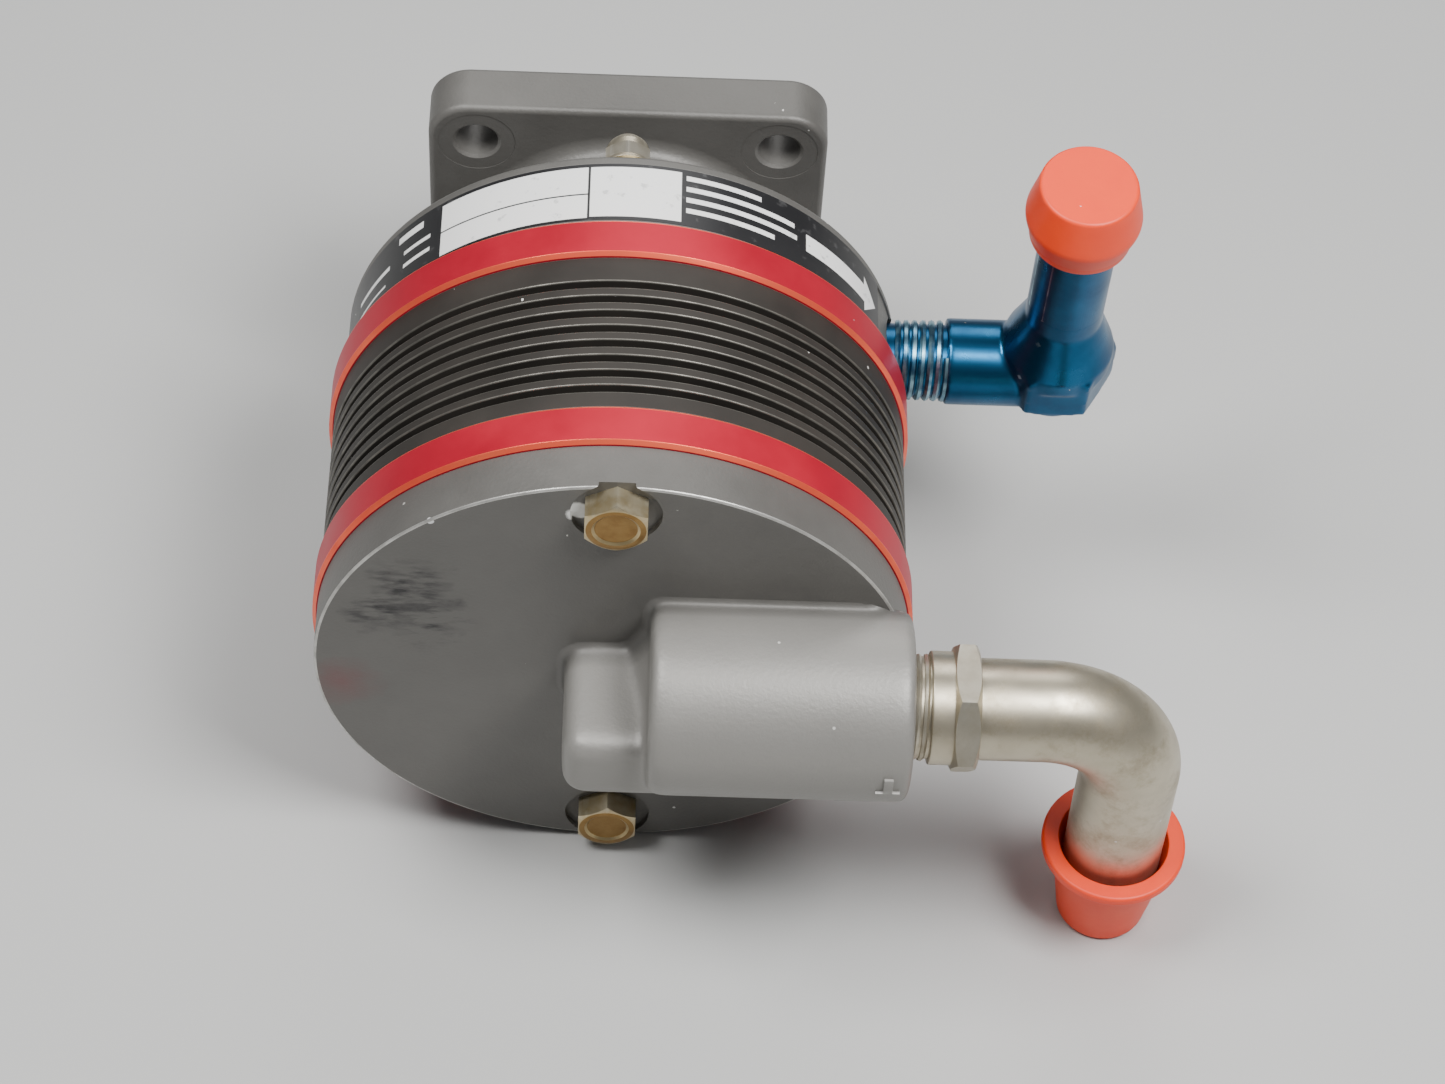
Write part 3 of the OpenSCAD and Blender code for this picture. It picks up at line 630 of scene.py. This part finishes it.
# The pale cyan edge tone is partly wear on the anodise and partly a painted highlight on the hex chamfers and
# shank shoulder.
blue_anodise = finish_of("blue_anodise", (0.020, 0.125, 0.255), (0.012, 0.075, 0.170), (0.26, 0.36), 0.95,
                         patch=110.0, bump=0.10, wear=(0.42, 0.70, 0.78), wear_low=0.535, wear_high=0.62,
                         dust=0.68)
cap_plastic = finish_of("red_cap_plastic", (0.95, 0.066, 0.010), (0.87, 0.048, 0.008), (0.40, 0.50), 0.0,
                        patch=70.0, bump=0.08, grain=600.0, dust=0.68, Subsurface_Weight=0.2,
                        Subsurface_Scale=0.002)
carbon = finish_of("moulded_carbon", (0.022, 0.022, 0.023), (0.034, 0.034, 0.035), (0.42, 0.58), 0.0,
                   bump=0.25, dust=0.68)
steel = finish_of("turned_steel", (0.42, 0.42, 0.43), (0.34, 0.34, 0.35), (0.26, 0.38), 1.0, lines=3600.0,
                  bump=0.10, wear=(0.62, 0.62, 0.63))
polished = finish_of("polished_steel", (0.60, 0.60, 0.61), (0.54, 0.54, 0.55), (0.10, 0.20), 1.0, bump=0.03)
polymer = finish_of("coupling_polymer", (0.55, 0.50, 0.38), (0.48, 0.43, 0.32), (0.40, 0.52), 0.0, bump=0.10)
brass = finish_of("cage_brass", (0.66, 0.47, 0.20), (0.54, 0.38, 0.16), (0.24, 0.36), 1.0, bump=0.10)


def dress(obj, *finishes):
    obj.data.materials.clear()
    for mat in finishes:
        obj.data.materials.append(mat)
    return obj


def place_piece(obj, body, slot, *nodes):
    even_shading(obj)
    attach(obj, body)
    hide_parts(*nodes)
    return obj


# The pieces

def front_housing():
    edge = 1.1
    levels = [(PAD_BACK + edge * (1 - math.cos(math.radians(t))), edge * (1 - math.sin(math.radians(t))))
              for t in (0, 22.5, 45, 67.5, 90)]
    levels += [(-edge * (1 - math.cos(math.radians(t))), edge * (1 - math.sin(math.radians(t))))
               for t in (90, 67.5, 45, 22.5, 0)]
    housing = solid("front_housing_casting", [stack(pad_outline, levels)])
    body = solid("drum", [turned([
        (-1, 0, 0), (DRUM_END, 0, 0), (DRUM_END, DRUM_R, 0.3),
        (LABEL_Y0, DRUM_R, 0.12), (LABEL_Y0, DRUM_R - LABEL_T, 0), (LABEL_Y1, DRUM_R - LABEL_T, 0),
        (LABEL_Y1, DRUM_R, 0.12), (NECK_END - 2.2, DRUM_R, 1.0), (NECK_END, DRUM_R - 2.4, 1.2),
        (NECK_END, NECK_R, 3.0), (PAD_BACK, NECK_R, 3.0), (PAD_BACK, 32, 0), (-1, 32, 0)],
        ALONG_Y, 256)])
    combine(housing, body, "UNION")
    inside = solid("inside", [lathe([
        (DRUM_END - 1, 0), (DRUM_END - 1, 35), (NECK_END - 3, 35), (NECK_END - 3, 12.5), (-15, 12.5),
        (-15, 14), (-7, 14), (-7, 14.8), (-5.9, 14.8), (-5.9, 14), (-4.8, 14), (-4.8, 16), (1, 16),
        (1, 0)], ALONG_Y, 128)])
    combine(housing, inside, "DIFFERENCE")
    stud = [(-12, 0), (-12, SPOT_FACE_R), (-9.42, SPOT_FACE_R), (-9.42, STUD_HOLE_R + 0.5),
            (-9.0, STUD_HOLE_R), (1, STUD_HOLE_R), (1, 0)]
    cutters = [lathe(stud, at(x, 0, z, ALONG_Y), 64)
               for x in (-STUD_HALF, STUD_HALF) for z in (-STUD_HALF, STUD_HALF)]
    cutters += [lathe([(-48, 0), (-48, BOLT_HOLE_R), (NECK_END - 1.5, BOLT_HOLE_R), (NECK_END - 1.5, 5),
                       (-20, 5), (-20, 0)],
                      at(0, 0, z, ALONG_Y), 48) for z in (-BOLT_CIRCLE, BOLT_CIRCLE)]
    cutters += [lathe([(30, 0), (30, 6.85), (47, 6.85), (47, 0)], ON_INLET, 64)]
    combine(housing, solid("holes", cutters), "DIFFERENCE")
    dress(housing, casting)
    place_piece(housing, "housing", "casting", "front_housing")


def end_plate(name, node, y0, y1, port_side):
    bevel, rub = 0.6, 0.1
    plate = solid(name, [turned([
        (y0, 8, 0), (y0, PLATE_R - bevel, 0.1), (y0 + bevel, PLATE_R, 0.1),
        (y0 + bevel + rub, PLATE_R, 0), (y1 - bevel - rub, PLATE_R, 0), (y1 - bevel, PLATE_R, 0.1),
        (y1, PLATE_R - bevel, 0.1), (y1, 8, 0)], ALONG_Y, 288, 2)])
    cutters = [lathe([(y0 - 1, 0), (y0 - 1, BOLT_HOLE_R), (y1 + 1, BOLT_HOLE_R), (y1 + 1, 0)],
                     at(0, 0, z, ALONG_Y), 32) for z in (-BOLT_CIRCLE, BOLT_CIRCLE)]
    for side in (-1, 1):
        low, high = (y0 - 1, y0 + 3.5) if port_side > 0 else (y1 - 3.5, y1 + 1)
        cutters.append(lathe([(low, 0), (low, DOWEL_R), (high, DOWEL_R), (high, 0)],
                             at(DOWEL_CIRCLE * side, 0, 0, ALONG_Y), 32))
    for lobe in (0, 180):
        turn = math.radians(lobe + 24 * port_side)
        x, z = PORT_CIRCLE * math.cos(turn), -PORT_CIRCLE * math.sin(turn)
        cutters.append(lathe([(y0 - 1, 0), (y0 - 1, PORT_R), (y1 + 1, PORT_R), (y1 + 1, 0)],
                             at(x, 0, z, ALONG_Y), 32))
    combine(plate, solid("holes", cutters), "DIFFERENCE")
    dress(plate, red_anodise, red_chamfer_highlight)
    # The rim chamfer faces take the painted highlight material.
    for face in plate.data.polygons:
        middle = face.center / MM
        radius = math.hypot(middle.x, middle.z)
        rim = middle.y < y0 + bevel + rub or middle.y > y1 - bevel - rub
        if radius > PLATE_R - 1.0 and rim and abs(face.normal.y) < 0.95:
            face.material_index = 1
    place_piece(plate, "housing", "red_anodised", node)


def cam_ring(tree):
    edge = 0.25
    outline = rounded([
        (RING_REAR, 30, 0), (RING_REAR, FIN_R, edge), (RING_REAR + 3.2, FIN_R, edge),
        (RING_REAR + 3.2, GROOVE_ROOT_R, 0.3), (-58.5, GROOVE_ROOT_R, 0.3), (-58.5, FIN_R, edge),
        (RING_FRONT, FIN_R, edge), (RING_FRONT, 30, 0)], 3)

    def cam(along, radius, turn):
        return radius if radius > 33 else CAM_MEAN_R + CAM_LIFT * math.cos(2 * turn)

    ring = solid("finned_cam_ring", [lathe(outline, ALONG_Y, 288, cam)])
    run_tree(ring, tree, Fin_Count=7, Pitch=FIN_PITCH * MM, First_Fin=(FIRST_FIN + FIN_W / 2) * MM,
             Ring_Radius=(FIN_R - 1.6) * MM, Fin_Width=FIN_W * MM, Fin_Depth=3.2 * MM,
             Edge_Radius=edge * MM, Finish=fin_coat)
    dress(ring, fin_coat, fin_edge_highlight)
    # The fins' rounded edge faces take the painted highlight material.
    for face in ring.data.polygons:
        middle = face.center / MM
        if math.hypot(middle.x, middle.z) > FIN_R - 0.3 and 0.25 < abs(face.normal.y) < 0.97:
            face.material_index = 1
    place_piece(ring, "housing", "fin_coating", "cam_ring")


def rear_cover():
    root, ramp_top, tip, ease = COVER_FACE + 3, COVER_FACE - 17, COVER_FACE - 19.6, 3.0
    block = [(root, 0.0)]
    block += [(tip + ease * (1 - math.cos(math.radians(t))), ease * (1 - math.sin(math.radians(t))))
              for t in (90, 72, 54, 36, 18, 0)]
    boss = solid("boss", [
        turned([(BOSS_X0, 0, 0), (BOSS_X0, BOSS_R, 1.6), (BOSS_X1, BOSS_R, 1.0), (BOSS_X1, 0, 0)],
               ON_OUTLET, 96),
        stack(block_outline, block),
        ([(1.0, root, 5), (7, root, 5), (7, root, 15), (4.9, ramp_top, 5), (7, ramp_top, 5),
          (7, ramp_top, 8)],
         [(0, 1, 2), (3, 5, 4), (0, 3, 4, 1), (1, 4, 5, 2), (0, 2, 5, 3)]),
        turned([(COVER_FACE + 0.15, 0, 0), (COVER_FACE + 0.15, 30, 0), (root, 30, 0), (root, 0, 0)],
               at(16, 0, 4, ALONG_Y), 96),
    ])
    soften(boss, 0.55, 34)
    cover = solid("rear_cover_casting", [turned([
        (COVER_FACE, 0, 0), (COVER_FACE, 22, 0), (COVER_FACE, COVER_R - 1.5, 0), (COVER_FACE, COVER_R, 0.45),
        (COVER_FRONT, COVER_R, 0.2), (COVER_FRONT, 34, 0),
        (COVER_FRONT - 4.4, 34, 0), (COVER_FRONT - 4.4, 0, 0)], ALONG_Y, 256)])
    combine(cover, boss, "UNION")
    cutters = [lathe([(COVER_FRONT - 4.4, 0), (COVER_FRONT - 4.4, 34), (COVER_FRONT + 3, 34),
                      (COVER_FRONT + 3, 0)], ALONG_Y, 96)]
    cutters += [lathe([(-101, 0), (-101, BOLT_RECESS_R), (COVER_FACE + 1, BOLT_RECESS_R),
                       (COVER_FACE + 1, BOLT_HOLE_R), (-90, BOLT_HOLE_R), (-90, 0)],
                      at(0, 0, z, ALONG_Y), 64) for z in (-BOLT_CIRCLE, BOLT_CIRCLE)]
    cutters += [lathe([(9, 0), (9, 6.8), (36, 6.8), (36, 8.55), (50, 8.55), (50, 0)], ON_OUTLET, 72)]
    combine(cover, solid("holes", cutters), "DIFFERENCE")
    dress(cover, cover_casting, cast_rim_highlight)
    # The rim fillet faces of the cover take the painted highlight material.
    for face in cover.data.polygons:
        middle = face.center / MM
        on_rim = math.hypot(middle.x, middle.z) > COVER_R - 0.45 and middle.y < COVER_FACE + 0.4
        if on_rim and 0.3 < -face.normal.y < 0.99 and middle.y > COVER_FACE - 0.05:
            face.material_index = 1
    place_piece(cover, "housing", "casting", "rear_cover")


def flow_arrow():
    """Plain raised arrow cast on the boss; its rows (along, half width) follow the curve."""
    rows = [(-3.0, 0.7), (-1.9, 0.7), (-0.75, 0.7), (0.4, 0.7),
            (0.45, 1.9), (1.3, 1.3), (2.15, 0.75), (3.0, 0.2)]
    points = []
    for along, half in rows:
        turn = math.radians(185) + along / BOSS_R
        for rise, across in ((-0.5, -half), (-0.5, half), (0.45, half), (0.45, -half)):
            reach = BOSS_R + rise
            points.append((43.0 + across, OUTLET_Y + reach * math.cos(turn),
                           OUTLET_Z + reach * math.sin(turn)))
    last = 4 * (len(rows) - 1)
    faces = [(k + i, k + (i + 1) % 4, k + 4 + (i + 1) % 4, k + 4 + i)
             for k in range(0, last, 4) for i in range(4)]
    faces += [(0, 1, 2, 3), tuple(range(last, last + 4))]
    arrow = solid("raised_flow_arrow", [(points, faces)])
    ease = arrow.modifiers.new("ease", "BEVEL")
    ease.width, ease.segments = 0.12 * MM, 2
    settle(arrow)
    tidy_mesh(arrow, 50)
    dress(arrow, cover_casting)
    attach(arrow, "housing")


def through_bolts(tree):
    head, end = COVER_FACE + 1, -21.9
    bolts = solid("through_bolts_plated", [hex_bar(9.5, head - 4.2, head, ALONG_Y, low_cut=1.0)])
    dish = solid("dish", [turned([(head - 5, 0, 0), (head - 5, 3.9, 0), (head - 4.2, 3.7, 0),
                                  (head - 3.8, 3.2, 0.3), (head - 3.8, 0, 0)], ALONG_Y, 48)])
    combine(bolts, dish, "DIFFERENCE")
    shank = solid("shank", [turned([(head - 0.5, 0, 0), (head - 0.5, 2.38, 0), (end - 3, 2.38, 0.7),
                                    (end - 3, 0, 0)], ALONG_Y, 40)])
    combine(bolts, shank, "UNION")
    run_tree(bolts, tree, Circle_Radius=BOLT_CIRCLE * MM, Finish=gold_plate)
    dress(bolts, gold_plate, head_stain)
    for face in bolts.data.polygons:
        if face.center.y / MM < head - 3.7 and face.normal.y < -0.8:
            away = math.hypot(face.center.x, abs(face.center.z) - BOLT_CIRCLE * MM) / MM
            face.material_index = 1 if away < 4.4 else 0
    place_piece(bolts, "housing", "gold_plate", "through_bolts")
    seat = NECK_END - 1.5
    washers = solid("nut_washers_plated", [turned([
        (seat, 2.4, 0), (seat, 4.4, 0.15), (seat + 0.8, 4.4, 0.2), (seat + 0.8, 2.4, 0)], ALONG_Y, 64)])
    run_tree(washers, tree, Circle_Radius=BOLT_CIRCLE * MM, Finish=gold_plate)
    place_piece(washers, "housing", "gold_plate", "nut_washers")
    base = seat + 0.8
    nuts = solid("bolt_nuts_plated", [
        hex_bar(7.2, base, base + 3.8, ALONG_Y, high_cut=1.0),
        turned([(base, 2.4, 0), (base, 4.2, 0.2), (base + 0.9, 4.2, 0.3), (base + 0.9, 2.4, 0)], ALONG_Y, 48),
        turned([(base + 3.0, 0, 0), (base + 3.0, 3.5, 0), (base + 5.2, 3.5, 1.5), (base + 7.0, 2.0, 1.5),
                (base + 7.0, 0, 0)], ALONG_Y, 48)])
    run_tree(nuts, tree, Circle_Radius=BOLT_CIRCLE * MM, Finish=nickel)
    place_piece(nuts, "housing", "gold_plate", "bolt_nuts")


def inlet_elbow(tree):
    body = solid("blue_inlet_elbow", [
        turned([(54.2, 0, 0), (54.2, 7.25, 0.3), (INLET_X, 7.25, 0), (INLET_X, 0, 0)], ON_INLET, 96),
        hex_bar(17.4, -2.5, 7.4, ON_STUB, low_cut=0.6, high_cut=1.6, turned_by=math.radians(30)),
        turned([(-8.4, 0, 0), (-8.4, 3.4, 3.0), (-5.0, 7.4, 3.0), (4.0, 8.4, 2.0), (4.0, 0, 0)], ON_STUB, 96),
        turned([(4.0, 0, 0), (4.0, 9.3, 0), (7.2, 9.3, 0.6), (12.6, 7.3, 1.6), (15.4, 6.35, 1.6),
                (20, 6.35, 0), (20, 0, 0)], ON_STUB, 96)])
    soften(body, 0.38, 4)
    stub = solid("stub", [turned([(14, 0, 0), (14, 6.33, 0), (48.4, 6.33, 0.4), (48.4, 0, 0)], ON_STUB, 96)])
    combine(body, stub, "UNION")
    core = solid("core", [turned([(36, 0, 0), (36, 6.1, 0), (46, 6.1, 0), (54.6, 6.1, 0), (54.8, 6.1, 0),
                                  (54.8, 0, 0)], ON_INLET, 72)])
    combine(body, core, "UNION")
    bore = solid("bore", [
        lathe([(35, 0), (35, 4.6), (INLET_X, 4.6), (INLET_X, 0)], ON_INLET, 64)])
    combine(body, bore, "DIFFERENCE")
    bore = solid("bore", [
        lathe([(-4.0, 0), (-4.0, 2.4), (0, 4.6), (50, 4.6), (50, 0)], ON_STUB, 64)])
    combine(body, bore, "DIFFERENCE")
    run_tree(body, tree, Turns=6.4, Start_Radius=6.15 * MM, End_Radius=6.35 * MM, Length=9.0 * MM,
             Crest=0.55 * MM, Place=(45.2 * MM, INLET_Y * MM, INLET_Z * MM), Finish=blue_anodise)
    place_piece(body, "housing", "blue_anodised", "inlet_elbow")


def outlet_adapter(tree):
    fitting = solid("outlet_adapter_plated", [
        turned([(36, 0, 0), (36, 8.0, 0), (49.8, 8.0, 0), (49.8, 0, 0)], ON_OUTLET, 96)])
    collar = solid("collar", [turned([(49.5, 0, 0), (49.5, 8.9, 0.3), (53.4, 8.9, 0), (53.4, 0, 0)],
                                     ON_OUTLET, 96)])
    combine(fitting, collar, "UNION")
    combine(fitting, solid("hex", [hex_bar(19, 53.1, 57.1, ON_OUTLET, low_cut=0.8, high_cut=1.0)]), "UNION")
    combine(fitting, solid("bore", [lathe([(35, 0), (35, 6.8), (50, 6.8), (50, 8.0), (58, 8.0), (58, 0)],
                                          ON_OUTLET, 72)]), "DIFFERENCE")
    run_tree(fitting, tree, Turns=1.9, Start_Radius=7.85 * MM, End_Radius=7.95 * MM, Length=2.4 * MM,
             Crest=0.5 * MM, Place=(46.9 * MM, OUTLET_Y * MM, OUTLET_Z * MM), Finish=nickel)
    place_piece(fitting, "housing", "nickel_plate", "outlet_adapter")


def outlet_pipe(tree):
    cut_back = 2.0
    route = [(50 - cut_back, OUTLET_Z)]
    route += [(PIPE_X - BEND_R + BEND_R * math.sin(math.radians(t)),
               OUTLET_Z - BEND_R + BEND_R * math.cos(math.radians(t))) for t in range(0, 91, 3)]
    route += [(PIPE_X, PIPE_END_Z - cut_back)]
    mesh = bpy.data.meshes.new("outlet_pipe_bent")
    mesh.from_pydata([(x * MM, OUTLET_Y * MM, z * MM) for x, z in route],
                     [(i, i + 1) for i in range(len(route) - 1)], [])
    pipe = bpy.data.objects.new("outlet_pipe_bent", mesh)
    bpy.context.scene.collection.objects.link(pipe)
    run_tree(pipe, tree, Outer_Radius=PIPE_R * MM, Bore_Radius=PIPE_BORE * MM, Cut_Back=cut_back * MM,
             Finish=nickel)
    place_piece(pipe, "housing", "nickel_plate", "outlet_pipe")


def dust_cap(name, body, node, place, corners):
    cap = solid(name, [turned(corners, place, 128, 5)])
    dress(cap, cap_plastic)
    place_piece(cap, body, "red_plastic", node)


def data_label():
    """Curved foil strip; its own map runs in millimetres round and across the drum."""
    turns = 170
    points, faces = [], []
    for s in range(turns + 1):
        angle = LABEL_FROM + (LABEL_TO - LABEL_FROM) * s / turns
        a = math.radians(angle)
        for r, y in ((DRUM_R - LABEL_T, LABEL_Y0), (DRUM_R, LABEL_Y0), (DRUM_R, LABEL_Y1),
                     (DRUM_R - LABEL_T, LABEL_Y1)):
            points.append((r * math.sin(a), y, r * math.cos(a)))
    for s in range(turns):
        for i in range(4):
            j = (i + 1) % 4
            faces.append((s * 4 + i, s * 4 + j, (s + 1) * 4 + j, (s + 1) * 4 + i))
    faces += [(0, 1, 2, 3), (turns * 4 + 3, turns * 4 + 2, turns * 4 + 1, turns * 4)]
    label = solid("printed_label", [(points, faces)])
    layer = label.data.uv_layers.new(name="label")
    for loop in label.data.loops:
        p = label.data.vertices[loop.vertex_index].co / MM
        layer.data[loop.index].uv = (math.atan2(p.x, p.z) * DRUM_R, p.y - LABEL_Y0)
    dress(label, label_foil)
    place_piece(label, "housing", "label_foil", "data_label")


bolt_pair, fin_row, screw_thread = bolt_circle_tree(), fin_stack_tree(), thread_tree()

front_housing()
end_plate("front_end_plate", "front_plate", RING_FRONT, DRUM_END, 1)
end_plate("rear_end_plate", "rear_plate", COVER_FRONT, RING_REAR, -1)
cam_ring(fin_row)
rear_cover()
flow_arrow()
through_bolts(bolt_pair)
inlet_elbow(screw_thread)
outlet_adapter(screw_thread)
outlet_pipe(swept_pipe_tree())
dust_cap("inlet_dust_cap", "inlet_plug", "inlet_cap", ON_STUB @ at(0, 0, 37.5), [
    (0, 7.35, 0.2), (0, 8.25, 0.3), (1.4, 8.4, 0.8), (5.2, 9.45, 3.4), (12.7, 7.85, 0.7),
    (12.7, 0, 0), (11.3, 0, 0), (11.3, 6.6, 0.8)])
dust_cap("outlet_dust_cap", "outlet_plug", "outlet_cap",
         at(PIPE_X, OUTLET_Y, -28.3, Matrix.Rotation(math.pi, 4, "X")), [
             (0, 9.0, 0.25), (0, 11.8, 0.6), (2.0, 11.8, 0.6), (2.0, 9.8, 0.5), (19.7, 7.3, 1.1),
             (19.7, 0, 0), (18.3, 0, 0), (18.3, 6.0, 0.8)])
data_label()

NODE_FINISH = {
    "rotor": carbon, "rotor_shaft": steel, "front_bush": carbon, "rear_bush": carbon, "drive_spline": steel,
    "shear_coupling": polymer, "shear_pins": steel, "bearing_outer_race": polished,
    "bearing_inner_race": polished, "bearing_balls": polished, "bearing_cage": brass,
    "bearing_shields": steel, "retaining_ring": steel, "dowel_pins": steel}
NODE_FINISH.update({"vane_%d" % k: carbon for k in range(1, 7)})
for name, mat in NODE_FINISH.items():
    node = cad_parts[name]
    if not node.material_slots:
        node.data.materials.append(mat)
    for material_slot in node.material_slots:
        material_slot.material = mat


# Floor, light and camera

def floor():
    mesh = bpy.data.meshes.new("floor")
    size, z = 4.0, -48.05 * MM
    mesh.from_pydata([(-size, -size, z), (size, -size, z), (size, size, z), (-size, size, z)], [],
                     [(0, 1, 2, 3)])
    ground = bpy.data.objects.new("floor", mesh)
    bpy.context.scene.collection.objects.link(ground)
    paper = bpy.data.materials.new("floor_paper")
    paper.use_nodes = True
    paper.node_tree.nodes["Principled BSDF"].inputs["Base Color"].default_value = (0.50, 0.50, 0.49, 1)
    paper.node_tree.nodes["Principled BSDF"].inputs["Roughness"].default_value = 0.9
    mesh.materials.append(paper)


def soft_light(name, place, size, power):
    lamp = bpy.data.lights.new(name, "AREA")
    lamp.shape, lamp.size, lamp.size_y, lamp.energy = "RECTANGLE", size[0], size[1], power
    obj = bpy.data.objects.new(name, lamp)
    aim = Vector(place) - Vector((0.015, -0.06, 0))
    obj.matrix_world = at(*place) @ aim.to_track_quat("Z", "Y").to_matrix().to_4x4()
    bpy.context.scene.collection.objects.link(obj)


floor()
soft_light("key_right", (0.26, -0.24, 0.55), (0.26, 0.22), 5.2)
soft_light("key_left", (-0.24, -0.14, 0.58), (0.26, 0.22), 3.6)
soft_light("far_fill", (0.10, 0.60, 0.55), (0.5, 0.4), 2.2)
world = bpy.data.worlds.new("studio")
world.use_nodes = True
world.node_tree.nodes["Background"].inputs["Color"].default_value = (0.78, 0.80, 0.84, 1)
world.node_tree.nodes["Background"].inputs["Strength"].default_value = 0.14
bpy.context.scene.world = world


def camera():
    lens = bpy.data.cameras.new("camera")
    lens.sensor_width, lens.lens, lens.clip_start = 36.0, 94.87, 0.01
    azimuth, elevation, roll = (math.radians(v) for v in (-2.647, 52.541, 3.920))
    back = Vector((math.sin(azimuth) * math.cos(elevation), -math.cos(azimuth) * math.cos(elevation),
                   math.sin(elevation)))
    level = Vector((math.cos(azimuth), math.sin(azimuth), 0))
    up = back.cross(level)
    right = math.cos(roll) * level + math.sin(roll) * up
    top = -math.sin(roll) * level + math.cos(roll) * up
    turn = Matrix((right, top, back)).transposed().to_4x4()
    eye = bpy.data.objects.new("camera", lens)
    eye.matrix_world = Matrix.Translation(
        Vector((16.566, -91.4, 24.218)) * MM + back * 590.67 * MM) @ turn
    bpy.context.scene.collection.objects.link(eye)
    bpy.context.scene.camera = eye


camera()
